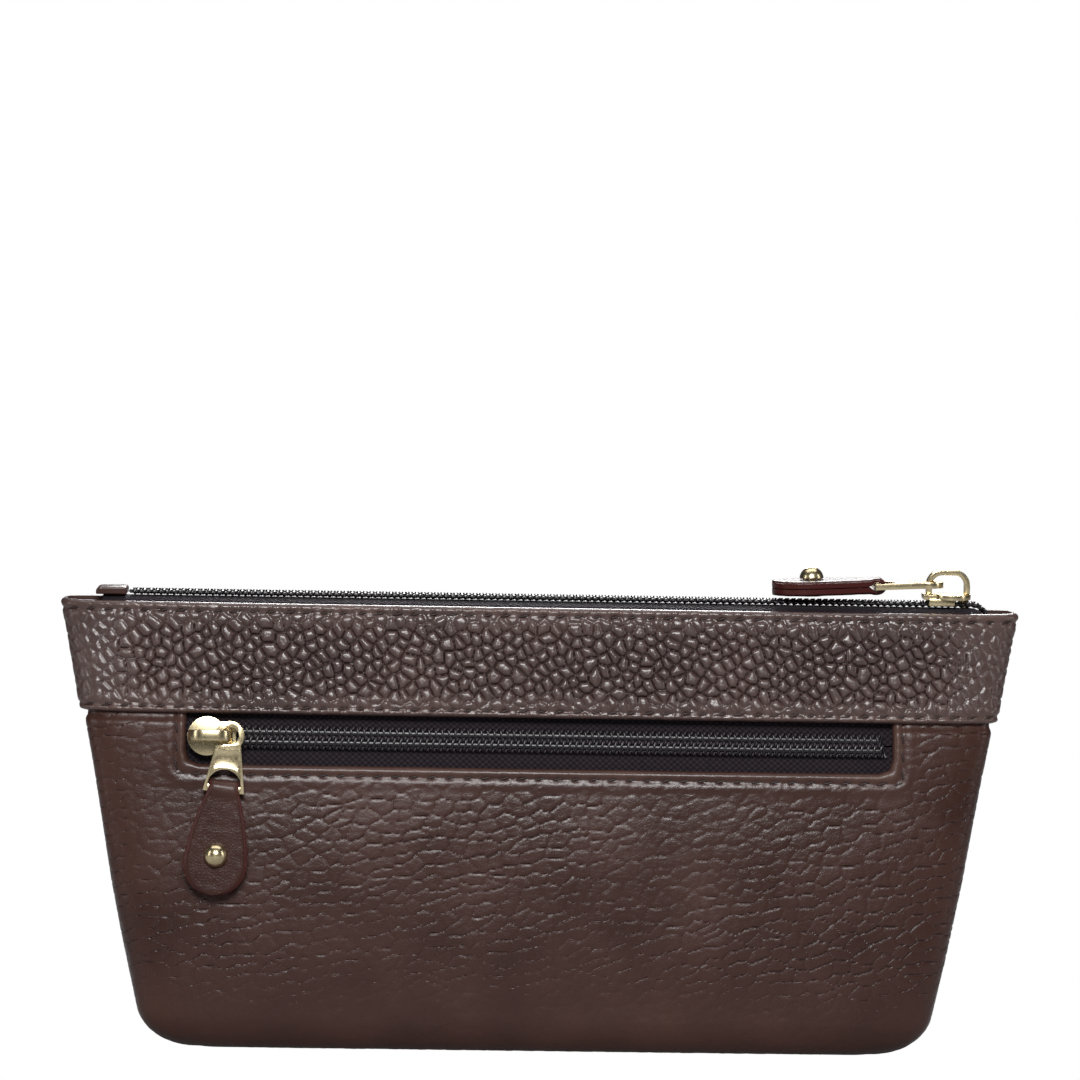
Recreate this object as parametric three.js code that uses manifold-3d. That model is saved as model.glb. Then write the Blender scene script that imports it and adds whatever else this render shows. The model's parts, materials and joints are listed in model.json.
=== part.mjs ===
// A soft leather pouch with a zip along its top and a zipped pocket in its front.
// Millimetres, +Z up, front towards -Y. The origin is the middle of the underside.
import * as THREE from 'three';
import { mergeVertices } from 'three/addons/utils/BufferGeometryUtils.js';
import Module from 'manifold-3d';

// Driving dimensions
const wallHeight = 88.6;       // base to the band's top edge
const baseHalfWidth = 78;      // half the width at the base
const sideFlare = 0.2;         // half-width gained for each millimetre of height
const baseHalfDepth = 18;
const mouthHalfDepth = 7.5;
const cornerWidth = 9;         // how far the bottom corners round in along the width
const cornerDepth = 5;         // and along the depth
const cornerHeight = 7.5;
const leather = 1.4;           // thickness of the body leather
const bandLow = 66.8;          // the band's lower edge
const bandProud = 0.7;         // how far the band stands out from the panel
const bandInner = 0.5;         // depth of the band's inner face
const clear = 0.3;             // gap between neighbouring pieces
const hemRounding = 0.35;      // how much a turned edge gives up at its rim
const windowHalfWidth = 70.6;  // opening for the pocket's zip
const windowLow = 56.8;
const pocketZipHeight = 62.3;  // middle of the pocket's chain
const topZipHeight = 89.3;     // underside of the top chain
const chainHalfWidth = 2.1;
const coilThickness = 1.3;
const tapeThickness = 0.4;
const liningThickness = 0.5;
const sliderAtTop = 82;        // middle of the top slider when shut
const sliderAtPocket = -65.5;  // middle of the pocket's slider when shut
const pocketPullLean = 5.5;    // degrees the hanging pull leans to the left
const topPullDip = 1.9;        // degrees the lying pull dips towards its far end

const wasm = await Module();
wasm.setup();

// Leather, cloth and metal, as seen by daylight
const surfaces = {
  leather: { color: 0x4f3c37, roughness: 0.5, metalness: 0 },
  edge: { color: 0x43231f, roughness: 0.35, metalness: 0 },
  cloth: { color: 0x2a2228, roughness: 0.9, metalness: 0 },
  coil: { color: 0x1d181d, roughness: 0.45, metalness: 0 },
  metal: { color: 0xe2d3a0, roughness: 0.25, metalness: 1 },
};

function piece(name, geometry, surface) {
  const mesh = new THREE.Mesh(geometry, new THREE.MeshStandardMaterial(surfaces[surface]));
  mesh.name = name;
  return mesh;
}

// ---- The pouch's shape ----

function smooth(low, high, value) {
  return THREE.MathUtils.smoothstep(value, low, high);
}

function halfWidthAt(z) {
  return baseHalfWidth + sideFlare * z;
}

function halfDepthAt(z) {
  return baseHalfDepth - (baseHalfDepth - mouthHalfDepth) * (z / wallHeight) ** 1.4;
}

// How boxy a level section is: nearly square at the base, a lens at the mouth.
const baseBoxiness = 9;
const mouthBoxiness = 4.5;
const lensFrom = 58;

function boxinessAt(z) {
  return THREE.MathUtils.lerp(baseBoxiness, mouthBoxiness, smooth(lensFrom, wallHeight, z));
}

// A point of the outer surface. side is -1 for the front and 1 for the back; column runs from -1 at the
// left seam to 1 at the right one and is the share of the half-width away from the corners.
function surfacePoint(side, column, z) {
  const round = Math.sqrt(Math.max(0, 1 - (1 - Math.min(z, cornerHeight) / cornerHeight) ** 2));
  const halfWidth = halfWidthAt(z) - cornerWidth * (1 - round);
  const halfDepth = halfDepthAt(z) - cornerDepth * (1 - round);
  const power = boxinessAt(z);
  const share = Math.min(1, Math.abs(column));
  const depth = (1 - share ** power) ** (1 / power);
  return new THREE.Vector3(column * halfWidth, side * depth * halfDepth, z);
}

function surfaceNormal(side, column, z) {
  const step = 0.002;
  const inward = Math.abs(column) > 0.999 ? 0.999 * Math.sign(column) : column;
  const height = Math.max(z, 0.2);
  const along = surfacePoint(side, inward + step * 0.4, height)
    .sub(surfacePoint(side, inward - step * 0.4, height));
  const up = surfacePoint(side, inward, height + 0.05)
    .sub(surfacePoint(side, inward, height - 0.05));
  const normal = along.cross(up).multiplyScalar(-side).normalize();
  if (Math.abs(column) > 0.999) normal.set(Math.sign(column), 0, 0);
  return normal;
}

function insidePoint(side, column, z, depth) {
  return surfacePoint(side, column, z).addScaledVector(surfaceNormal(side, column, z), -depth);
}

// ---- Sheets: a grid of cells between an outer and an inner face ----

// rows and columns count the grid's lines. at(i, j, inner) gives a point, kept(i, j) says whether a cell
// is there. A wall closes each edge between a kept cell and a missing one.
function sheet(columns, rows, at, kept = () => true) {
  const positions = [];
  const index = [];
  for (const inner of [false, true]) {
    for (let j = 0; j < rows; j += 1) {
      for (let i = 0; i < columns; i += 1) positions.push(...at(i, j, inner).toArray());
    }
  }
  const layer = columns * rows;
  const there = (i, j) => i >= 0 && j >= 0 && i < columns - 1 && j < rows - 1 && kept(i, j);
  const quad = (a, b, c, d) => index.push(a, b, c, a, c, d);
  for (let j = 0; j < rows - 1; j += 1) {
    for (let i = 0; i < columns - 1; i += 1) {
      if (!there(i, j)) continue;
      const a = j * columns + i;
      const b = a + 1;
      const c = b + columns;
      const d = a + columns;
      quad(a, b, c, d);
      quad(layer + d, layer + c, layer + b, layer + a);
      if (!there(i, j - 1)) quad(b, a, layer + a, layer + b);
      if (!there(i + 1, j)) quad(c, b, layer + b, layer + c);
      if (!there(i, j + 1)) quad(d, c, layer + c, layer + d);
      if (!there(i - 1, j)) quad(a, d, layer + d, layer + a);
    }
  }
  const geometry = new THREE.BufferGeometry();
  geometry.setAttribute('position', new THREE.Float32BufferAttribute(positions, 3));
  geometry.setIndex(index);
  return facingOut(geometry);
}

// Turns a closed body the right way round.
function facingOut(geometry) {
  const point = geometry.attributes.position;
  const index = geometry.index.array;
  const corner = [new THREE.Vector3(), new THREE.Vector3(), new THREE.Vector3()];
  let volume = 0;
  for (let k = 0; k < index.length; k += 3) {
    corner.forEach((vector, n) => vector.fromBufferAttribute(point, index[k + n]));
    volume += corner[0].dot(corner[1].clone().cross(corner[2]));
  }
  if (volume < 0) {
    for (let k = 0; k < index.length; k += 3) [index[k], index[k + 1]] = [index[k + 1], index[k]];
  }
  geometry.computeVertexNormals();
  return geometry;
}

function spaced(low, high, count) {
  return Array.from({ length: count }, (_, n) => low + ((high - low) * n) / (count - 1));
}

// Columns from seam to seam, close together at the turned sides.
const turn = [1, 0.997, 0.985, 0.965, 0.94, 0.905];
const wallColumns = [...turn.map((share) => -share), ...spaced(-0.86, 0.86, 15), ...turn.reverse()];

// A stretch of wall between two depths below the outer surface. A column is a share of the half-width or a
// function of the height, and a depth is a number or a function of the height.
function wallSheet(side, columns, heights, outerDepth, innerDepth, kept) {
  const depthAt = (depth, z) => (typeof depth === 'function' ? depth(z) : depth);
  const at = (i, j, inner) => {
    const column = typeof columns[i] === 'function' ? columns[i](heights[j]) : columns[i];
    const depth = depthAt(inner ? innerDepth : outerDepth, heights[j]);
    const point = insidePoint(side, column, heights[j], depth);
    point.y = side * Math.max(side * point.y, clear / 2);
    return point;
  };
  return sheet(columns.length, heights.length, at, kept);
}

// ---- Leather ----

// The panels tuck in under the band.
function panelDepth(z) {
  return (bandInner + clear) * smooth(bandLow - 2.4, bandLow - 0.4, z);
}

const panelHeights = [0.35, 0.9, 2, 3.8, 6.5, 12, 24, 36, 48];
const lapHeights = [64.2, 65.2, 66.4, 69.5];

function windowColumn(offset) {
  return (z) => offset / halfWidthAt(z);
}

function frontPanel() {
  const half = windowHalfWidth;
  const middle = [half, half * 0.78, half * 0.5, half * 0.2].map((x) => windowColumn(-x));
  const columns = [
    ...wallColumns.slice(0, 6),
    -0.84,
    ...middle,
    ...middle.map((place) => (z) => -place(z)).reverse(),
    0.84,
    ...wallColumns.slice(-6),
  ];
  const heights = [...panelHeights, windowLow, ...lapHeights];
  const besideWindow = wallColumns.slice(0, 6).length + 1;
  const kept = (i, j) => heights[j] < windowLow || i < besideWindow || i >= columns.length - 1 - besideWindow;
  return wallSheet(-1, columns, heights, panelDepth, (z) => panelDepth(z) + leather, kept);
}

function backPanel() {
  const heights = [...panelHeights, ...lapHeights];
  return wallSheet(1, wallColumns, heights, panelDepth, (z) => panelDepth(z) + leather);
}

function band(side) {
  const heights = [bandLow, bandLow + 0.6, 74, 81, wallHeight - 0.7, wallHeight];
  const rounding = (z) => (z > bandLow && z < wallHeight ? 0 : hemRounding);
  return wallSheet(side, wallColumns, heights, (z) => rounding(z) - bandProud, bandInner);
}

function basePanel() {
  const gap = 1.6;
  const radius = 7;
  const edge = surfacePoint(1, 1, panelHeights[0]).x - gap;
  const side = surfacePoint(1, 0, panelHeights[0]).y - gap;
  const shape = new THREE.Shape();
  shape.moveTo(radius - edge, -side);
  shape.lineTo(edge - radius, -side);
  shape.absarc(edge - radius, radius - side, radius, -Math.PI / 2, 0);
  shape.lineTo(edge, side - radius);
  shape.absarc(edge - radius, side - radius, radius, 0, Math.PI / 2);
  shape.lineTo(radius - edge, side);
  shape.absarc(radius - edge, side - radius, radius, Math.PI / 2, Math.PI);
  shape.lineTo(-edge, radius - side);
  shape.absarc(radius - edge, radius - side, radius, Math.PI, Math.PI * 1.5);
  return new THREE.ExtrudeGeometry(shape, { depth: leather, bevelEnabled: false, curveSegments: 5 });
}

// ---- Cloth ----

// The depth of the front lining: behind the pocket low down, close behind the band above it.
const pocketDepth = 11;
const linedBandDepth = 4.2;
const liningTop = 82.5;
const backLiningDepth = leather + 1.6;

function frontLiningDepth(z) {
  return THREE.MathUtils.lerp(pocketDepth, linedBandDepth, smooth(62, 74, z));
}

function lining(side, outerDepth) {
  const columns = spaced(-0.9, 0.9, 13);
  const heights = [3.2, 8, 20, 36, 52, 62, 66, 70, 74, liningTop];
  return wallSheet(side, columns, heights, outerDepth, (z) => outerDepth(z) + liningThickness);
}

function baseLining() {
  const geometry = new THREE.BoxGeometry(2 * (baseHalfWidth - 14), 14.5, liningThickness);
  return geometry.translate(0, 4.2, leather + clear + liningThickness / 2);
}

const pocketColumns = spaced(-0.8, 0.8, 13);

function pocketBackLeaf() {
  const depth = (z) => THREE.MathUtils.lerp(10, 3.3, smooth(62, 70, z));
  const heights = [5.2, 12, 30, 48, 60, 63, 65, 67, 69.4];
  return wallSheet(-1, pocketColumns, heights, depth, (z) => depth(z) + liningThickness);
}

function pocketFrontLeaf() {
  const heights = [6.4, 12, 30, 48, 54.6];
  return wallSheet(-1, pocketColumns, heights, leather + 0.9, leather + 0.9 + liningThickness);
}

// ---- Zips ----

const pocketTapeDepth = 2.5;
const pocketTapeTop = 68.2;
const pocketTapeFoot = 55.2;
const tapeGap = 0.15;          // half the slit between two facing tapes or coils

function pocketTape(low, high) {
  const heights = [low, high];
  return wallSheet(-1, spaced(-0.82, 0.82, 11), heights, pocketTapeDepth, pocketTapeDepth + tapeThickness);
}

function pocketCoil(direction) {
  const near = pocketZipHeight + direction * tapeGap;
  const far = pocketZipHeight + direction * chainHalfWidth;
  const heights = [near, near + direction * 0.35, far - direction * 0.35, far];
  const crown = (z) => pocketTapeDepth - clear / 2 - coilThickness
    + (z === near || z === far ? 0.4 : 0);
  return wallSheet(-1, spaced(-0.765, 0.765, 11), heights, crown, pocketTapeDepth - clear / 2);
}

// The top tapes lie nearly flat beside the chain, turn down inside the bands and dive at the right end.
const tapeStations = [-88, -84, -70, -50, -25, 0, 25, 50, 70, 84, 87.6, 90, 91.6, 92.8];

const diveDepth = 5;
const diveStations = [87.2, 94.5];

function dive(x) {
  return diveDepth * smooth(...diveStations, x);
}

function bandInside(side, x) {
  const share = Math.min(0.985, Math.abs(x) / halfWidthAt(wallHeight));
  return side * insidePoint(side, share, wallHeight, bandInner + clear + hemRounding).y;
}

function topTape(side) {
  const section = (x, inner) => {
    const reach = Math.max(Math.abs(bandInside(side, x)) - 0.1 * dive(x), 2.6);
    const z = topZipHeight - tapeThickness - dive(x);
    const shift = inner ? tapeThickness : 0;
    return [
      new THREE.Vector3(x, side * tapeGap, z + tapeThickness - shift),
      new THREE.Vector3(x, side * (reach - 1.1), z + tapeThickness - shift - 0.5),
      new THREE.Vector3(x, side * (reach - shift), z - 1.4 - shift * 0.4),
      new THREE.Vector3(x, side * (reach - shift), z - 7 + dive(x)),
    ];
  };
  return sheet(tapeStations.length, 4, (i, j, inner) => section(tapeStations[i], inner)[j]);
}

function topCoil(side) {
  const stations = [-82.6, ...tapeStations.slice(2)];
  const profile = [[tapeGap, 0.4], [0.5, 0], [1.75, 0], [chainHalfWidth, 0.4]];
  const at = (i, j, inner) => {
    const foot = topZipHeight + clear / 2 - dive(stations[i]);
    const [across, drop] = profile[j];
    const tilt = (across / chainHalfWidth) * 0.12;
    return new THREE.Vector3(stations[i], side * across, foot - tilt + (inner ? 0 : coilThickness - drop));
  };
  return sheet(stations.length, 4, at);
}

function leftEndTab() {
  const shape = new THREE.Shape();
  shape.moveTo(-3.1, 0);
  shape.lineTo(3.1, 0);
  shape.lineTo(3.1, 0.9);
  shape.quadraticCurveTo(3.0, 1.5, 2.4, 1.5);
  shape.lineTo(-2.2, 1.4);
  shape.quadraticCurveTo(-3.1, 1.3, -3.1, 0.6);
  const geometry = new THREE.ExtrudeGeometry(shape, { depth: 7.6, bevelEnabled: false, curveSegments: 4 });
  return geometry.rotateX(Math.PI / 2).translate(-86.2, 3.8, topZipHeight + clear);
}

// ---- Slider, pull and puller. Local frame: X towards the slider's wide end, Z away from the tape ----

const plateThickness = 1;
const headRadius = 3.9;
const neckHalfWidth = 2.35;
const plateEnds = [-4.9, 4.8];             // narrow end, wide end
const plateFoot = coilThickness + 0.45;    // underside of the top plate, over the tape
const bridgeLegs = [-3.7, 4.0];            // middles of the bridge's two legs
const bridgeWidth = 2.2;
const bridgeThickness = 1.1;
const bridgeTop = 4.45;                    // middle of the bridge's strap, over the plate
const bendRadius = 2.6;
const ringPlane = bridgeTop - bendRadius;  // height at which the ring lies flat
const ringHole = 1.8;
const ringOuter = 2.9;
const pullThickness = 1.2;
const tabHalfWidth = 4.2;                  // at the pull's far end
const slotHalfWidth = 3.3;                 // of the window over the bar
const slotReach = 3.2;
const barAt = 10.55;                       // from the ring's middle to the bar that the leather folds over
const barHeight = 1.3;
const strapHole = 0.95;
const foldRadius = 1.75;
const rivetAt = 13.2;                      // from the bar to the rivet
const pullerLength = 21.2;                 // from the bar to the leather's round end
const pullerThickness = 3;
const pullerNeck = 2.95;                   // half-width at the bar
const pullerWidest = 6.3;                  // half-width at the round end
const rivetGap = 0.1;

function extrude(shape, depth, segments = 8) {
  return new THREE.ExtrudeGeometry(shape, { depth, bevelEnabled: false, curveSegments: segments });
}

// The keyhole outline of the slider's plates.
function plateShape() {
  const headMiddle = plateEnds[1] - headRadius;
  const meet = Math.PI * 0.72;
  const shape = new THREE.Shape();
  shape.moveTo(plateEnds[0] + 0.8, -neckHalfWidth);
  shape.lineTo(-2.4, -neckHalfWidth);
  const cornerX = headMiddle + headRadius * Math.cos(meet);
  const cornerY = headRadius * Math.sin(meet);
  shape.quadraticCurveTo(cornerX - 0.6, -neckHalfWidth, cornerX, -cornerY);
  shape.absarc(headMiddle, 0, headRadius, -meet, meet, false);
  shape.quadraticCurveTo(cornerX - 0.6, neckHalfWidth, -2.4, neckHalfWidth);
  shape.lineTo(plateEnds[0] + 0.8, neckHalfWidth);
  shape.quadraticCurveTo(plateEnds[0], neckHalfWidth, plateEnds[0], neckHalfWidth - 0.8);
  shape.lineTo(plateEnds[0], -neckHalfWidth + 0.8);
  shape.quadraticCurveTo(plateEnds[0], -neckHalfWidth, plateEnds[0] + 0.8, -neckHalfWidth);
  return shape;
}

function toManifold(geometry) {
  const bare = geometry.clone();
  bare.deleteAttribute('normal');
  bare.deleteAttribute('uv');
  const merged = mergeVertices(bare, 1e-4);
  return new wasm.Manifold(new wasm.Mesh({
    numProp: 3,
    vertProperties: new Float32Array(merged.attributes.position.array),
    triVerts: new Uint32Array(merged.index.array),
  }));
}

function fromManifold(solid) {
  const mesh = solid.getMesh();
  const geometry = new THREE.BufferGeometry();
  geometry.setAttribute('position', new THREE.BufferAttribute(new Float32Array(mesh.vertProperties), 3));
  geometry.setIndex(new THREE.BufferAttribute(new Uint32Array(mesh.triVerts), 1));
  geometry.computeVertexNormals();
  return geometry;
}

const lowerPlateGap = 0.6;                 // between the tape and the lower plate

// Top plate with its two side flanges, the guide post at the wide end, and the lower plate.
function sliderBody() {
  const lowerFoot = -tapeThickness - lowerPlateGap - plateThickness;
  const top = toManifold(extrude(plateShape(), plateThickness).translate(0, 0, plateFoot));
  const lower = toManifold(extrude(plateShape(), plateThickness).translate(0, 0, lowerFoot));
  const post = new THREE.BoxGeometry(1.6, 0.24, plateFoot - lowerFoot);
  post.translate(3.6, 0, (plateFoot + lowerFoot) / 2 + plateThickness / 2);
  let body = top.add(lower).add(toManifold(post));
  for (const side of [-1, 1]) {
    const flange = new THREE.BoxGeometry(5.2, 0.5, 1.5);
    flange.translate(-1.3, side * (chainHalfWidth + 0.6), plateFoot - 0.55);
    body = body.add(toManifold(flange));
  }
  return fromManifold(body);
}

// The arched strap that the pull's ring runs on.
function sliderBridge() {
  const foot = plateFoot + plateThickness + 0.02;
  const [narrow, wide] = bridgeLegs;
  const strap = plateFoot + plateThickness + bridgeTop; // height of the strap's middle line
  const half = bridgeThickness / 2;
  const outline = (grow, start) => {
    const radius = bendRadius + grow;
    return [
      [narrow - grow, start],
      ...spaced(180, 90, 6).map((angle) => [
        narrow + bendRadius + radius * Math.cos(THREE.MathUtils.degToRad(angle)),
        strap - bendRadius + radius * Math.sin(THREE.MathUtils.degToRad(angle)),
      ]),
      ...spaced(90, 0, 6).map((angle) => [
        wide - bendRadius + radius * Math.cos(THREE.MathUtils.degToRad(angle)),
        strap - bendRadius + radius * Math.sin(THREE.MathUtils.degToRad(angle)),
      ]),
      [wide + grow, start],
    ];
  };
  const points = [...outline(half, foot), ...outline(-half, foot).reverse()];
  const shape = new THREE.Shape(points.map(([x, z]) => new THREE.Vector2(x, z)));
  return extrude(shape, bridgeWidth).rotateX(Math.PI / 2).translate(0, bridgeWidth / 2, 0);
}

// The metal pull: a ring, a widening tab and a window over the bar at its far end.
function pullTab() {
  const far = -barAt - barHeight / 2;
  const shape = new THREE.Shape();
  const leave = Math.PI * 0.68;
  shape.absarc(0, 0, ringOuter, -leave, leave, false);
  const cut = 0.4;
  shape.lineTo(far + cut, tabHalfWidth);
  shape.lineTo(far, tabHalfWidth - cut);
  shape.lineTo(far, cut - tabHalfWidth);
  shape.lineTo(far + cut, -tabHalfWidth);
  const hole = new THREE.Path();
  hole.absarc(0, 0, ringHole, 0, Math.PI * 2, true);
  const windowFoot = -barAt + barHeight / 2;
  const slot = new THREE.Path();
  slot.moveTo(windowFoot, -slotHalfWidth);
  slot.lineTo(windowFoot, slotHalfWidth);
  slot.lineTo(windowFoot + 1.3, slotHalfWidth - 0.1);
  slot.quadraticCurveTo(windowFoot + slotReach, 2.4, windowFoot + slotReach, 0);
  slot.quadraticCurveTo(windowFoot + slotReach, -2.4, windowFoot + 1.3, 0.1 - slotHalfWidth);
  shape.holes.push(hole, slot);
  return extrude(shape, pullThickness, 7).translate(0, 0, -pullThickness / 2);
}

// Outline of the leather puller, from its fold at the bar to its round end.
function pullerShape() {
  const shape = new THREE.Shape();
  const endMiddle = pullerWidest - pullerLength;
  const taper = pullerNeck + 1.3;
  shape.moveTo(0, pullerNeck);
  shape.bezierCurveTo(-3, taper, endMiddle + 6, pullerWidest - 0.2, endMiddle, pullerWidest);
  shape.absarc(endMiddle, 0, pullerWidest, Math.PI / 2, Math.PI * 1.5, false);
  shape.bezierCurveTo(endMiddle + 6, 0.2 - pullerWidest, -3, -taper, 0, -pullerNeck);
  return shape;
}

function roundBar(radius, length, segments = 16) {
  return new THREE.CylinderGeometry(radius, radius, length, segments);
}

// One strap folded over the bar, its two leaves joined by the rivet.
function pullerLeather() {
  const leaves = toManifold(extrude(pullerShape(), pullerThickness, 7).translate(0, 0, -pullerThickness / 2));
  const fold = toManifold(roundBar(foldRadius, 5.9));
  const barHole = toManifold(roundBar(strapHole, 30, 12));
  const rivetHole = toManifold(roundBar(1.05, 10, 12).rotateX(Math.PI / 2).translate(-rivetAt, 0, 0));
  return fromManifold(leaves.add(fold).subtract(barHole).subtract(rivetHole));
}

function rivetCap() {
  const seat = pullerThickness / 2 + rivetGap;
  const foot = rivetGap - seat;
  const profile = [[0, foot], [0.8, foot], [0.8, seat], [2.3, seat], [2.45, seat + 0.35],
    [2.25, seat + 1.2], [1.6, seat + 2.0], [0.8, seat + 2.4], [0, seat + 2.5]];
  const geometry = new THREE.LatheGeometry(profile.map(([r, z]) => new THREE.Vector2(r, z)), 16);
  return geometry.rotateX(Math.PI / 2).translate(-rivetAt, 0, 0);
}

function rivetBack() {
  const seat = pullerThickness / 2 + rivetGap;
  const top = seat + 0.25;
  const profile = [[0, seat], [2.2, seat], [2.2, seat + 0.12], [1.9, top], [0, top]];
  const geometry = new THREE.LatheGeometry(profile.map(([r, z]) => new THREE.Vector2(r, -z)), 16);
  return geometry.rotateX(Math.PI / 2).translate(-rivetAt, 0, 0);
}

// A slider with its pull turned by swing about the bridge's leg, or dipped about its bend.
function zipSlider(name, swing, dip = 0) {
  const slider = new THREE.Group();
  slider.add(piece(`${name}_slider_body`, facingOutCopy(sliderBody()), 'metal'));
  slider.add(piece(`${name}_slider_bridge`, facingOutCopy(sliderBridge()), 'metal'));
  const pull = new THREE.Group();
  pull.position.set(bridgeLegs[0], 0, plateFoot + plateThickness + ringPlane);
  pull.rotation.set(0, -dip, swing);
  pull.add(piece(`${name}_pull_tab`, pullTab(), 'metal'));
  const puller = new THREE.Group();
  puller.position.x = -barAt;
  puller.add(piece(`${name}_puller_leather`, facingOutCopy(pullerLeather()), 'edge'));
  puller.add(piece(`${name}_puller_rivet_cap`, facingOutCopy(rivetCap()), 'metal'));
  puller.add(piece(`${name}_puller_rivet_back`, facingOutCopy(rivetBack()), 'metal'));
  pull.add(puller);
  slider.add(pull);
  return slider;
}

function facingOutCopy(geometry) {
  const bare = geometry.clone();
  bare.deleteAttribute('normal');
  if (bare.attributes.uv) bare.deleteAttribute('uv');
  return facingOut(mergeVertices(bare, 1e-4));
}

// ---- Assembly ----

// How far the front wall leans back where the pocket's zip runs.
const wallTilt = Math.atan((halfDepthAt(pocketZipHeight - 1) - halfDepthAt(pocketZipHeight + 1)) / 2);

const pouch = new THREE.Group();
pouch.name = 'zippered_pouch';
pouch.add(piece('front_panel', frontPanel(), 'leather'));
pouch.add(piece('back_panel', backPanel(), 'leather'));
pouch.add(piece('front_band', band(-1), 'leather'));
pouch.add(piece('back_band', band(1), 'leather'));
pouch.add(piece('base_panel', facingOutCopy(basePanel()), 'edge'));
pouch.add(piece('front_lining', lining(-1, frontLiningDepth), 'cloth'));
pouch.add(piece('back_lining', lining(1, () => backLiningDepth), 'cloth'));
pouch.add(piece('base_lining', baseLining(), 'cloth'));
pouch.add(piece('pocket_bag_front', pocketFrontLeaf(), 'cloth'));
pouch.add(piece('pocket_bag_back', pocketBackLeaf(), 'cloth'));
pouch.add(piece('pocket_tape_upper', pocketTape(pocketZipHeight + tapeGap, pocketTapeTop), 'cloth'));
pouch.add(piece('pocket_tape_lower', pocketTape(pocketTapeFoot, pocketZipHeight - tapeGap), 'cloth'));
pouch.add(piece('pocket_coil_upper', pocketCoil(1), 'coil'));
pouch.add(piece('pocket_coil_lower', pocketCoil(-1), 'coil'));
pouch.add(piece('top_tape_front', topTape(-1), 'cloth'));
pouch.add(piece('top_tape_back', topTape(1), 'cloth'));
pouch.add(piece('top_coil_front', topCoil(-1), 'coil'));
pouch.add(piece('top_coil_back', topCoil(1), 'coil'));
pouch.add(piece('left_end_tab', facingOutCopy(leftEndTab()), 'leather'));

const topSlider = zipSlider('top', 0, THREE.MathUtils.degToRad(topPullDip));
topSlider.position.set(sliderAtTop, 0, topZipHeight);
pouch.add(topSlider);

// The pocket's slider stands on the leaning wall, its wide end to the left.
const pocketSlider = zipSlider('pocket', THREE.MathUtils.degToRad(-90 - pocketPullLean));
const outward = new THREE.Vector3(0, -Math.cos(wallTilt), Math.sin(wallTilt));
const leftward = new THREE.Vector3(-1, 0, 0);
pocketSlider.quaternion.setFromRotationMatrix(
  new THREE.Matrix4().makeBasis(leftward, outward.clone().cross(leftward), outward),
);
pocketSlider.position.copy(insidePoint(-1, 0, pocketZipHeight, pocketTapeDepth - 0.1));
pocketSlider.position.x = sliderAtPocket;
pouch.add(pocketSlider);

export default pouch;
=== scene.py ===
import json
import math

import bpy
import numpy as np
from mathutils import Matrix, Vector, noise


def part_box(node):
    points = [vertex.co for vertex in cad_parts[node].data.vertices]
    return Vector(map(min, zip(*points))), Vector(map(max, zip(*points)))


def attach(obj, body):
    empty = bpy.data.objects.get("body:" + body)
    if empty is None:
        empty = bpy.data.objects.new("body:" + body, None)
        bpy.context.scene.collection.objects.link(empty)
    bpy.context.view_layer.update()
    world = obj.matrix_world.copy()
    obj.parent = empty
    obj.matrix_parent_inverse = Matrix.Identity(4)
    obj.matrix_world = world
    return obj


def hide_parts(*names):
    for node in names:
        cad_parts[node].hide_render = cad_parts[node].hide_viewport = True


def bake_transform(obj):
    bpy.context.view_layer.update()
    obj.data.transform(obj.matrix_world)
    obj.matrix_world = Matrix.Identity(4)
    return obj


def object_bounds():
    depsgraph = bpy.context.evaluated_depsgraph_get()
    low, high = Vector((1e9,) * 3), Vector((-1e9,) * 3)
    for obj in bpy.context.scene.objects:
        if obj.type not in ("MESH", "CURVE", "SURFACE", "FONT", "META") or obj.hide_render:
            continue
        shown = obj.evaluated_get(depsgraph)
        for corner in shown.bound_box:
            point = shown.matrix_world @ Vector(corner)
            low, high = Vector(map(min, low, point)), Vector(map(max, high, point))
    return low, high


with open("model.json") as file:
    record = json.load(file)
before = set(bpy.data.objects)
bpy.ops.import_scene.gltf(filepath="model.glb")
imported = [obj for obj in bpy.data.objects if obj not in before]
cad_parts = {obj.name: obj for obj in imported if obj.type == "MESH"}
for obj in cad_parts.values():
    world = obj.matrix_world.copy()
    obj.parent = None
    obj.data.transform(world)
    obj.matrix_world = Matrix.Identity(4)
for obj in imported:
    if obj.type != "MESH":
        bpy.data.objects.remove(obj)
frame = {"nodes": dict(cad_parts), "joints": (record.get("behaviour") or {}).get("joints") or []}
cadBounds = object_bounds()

mm = 0.001
joints = {joint["name"]: joint for joint in frame["joints"]}

# The pouch's own shape, in millimetres, the same as the frame's.
pouch = dict(
    height=88.6,           # base to the band's top edge
    halfWidth=78,          # at the base
    flare=0.2,             # half-width gained for each millimetre of height
    halfDepth=18,          # at the base
    mouthHalfDepth=7.5,
    cornerWidth=9,
    cornerDepth=5,
    cornerHeight=7.5,
    leather=1.4,
    seamGap=0.15,          # half the gap where the two walls meet
)
bandPlan = dict(low=66.8, proud=0.7, inner=0.5, stitchUp=1.25, stitchDown=1.7)
windowPlan = dict(halfWidth=70.6, low=56.8, corner=2.6, stitchBelow=2.0, stitchBeside=1.9)
stitchPlan = dict(pitch=3.6, length=2.7, width=0.5, lean=14)
zipPlan = dict(
    pitch=1.3, filament=0.3, halfWidth=2.1, thickness=1.3, reach=0.3,
    topHeight=89.3, pocketHeight=62.3, tapeDepth=2.5, tapeThickness=0.4, pocketSpan=0.765,
    dive=5, diveFrom=87.2, diveTo=94.5,
)


def clearSelection():
    if bpy.context.mode != "OBJECT":
        bpy.ops.object.mode_set(mode="OBJECT")
    bpy.ops.object.select_all(action="DESELECT")


def choose(piece):
    clearSelection()
    piece.select_set(True)
    bpy.context.view_layer.objects.active = piece


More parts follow.
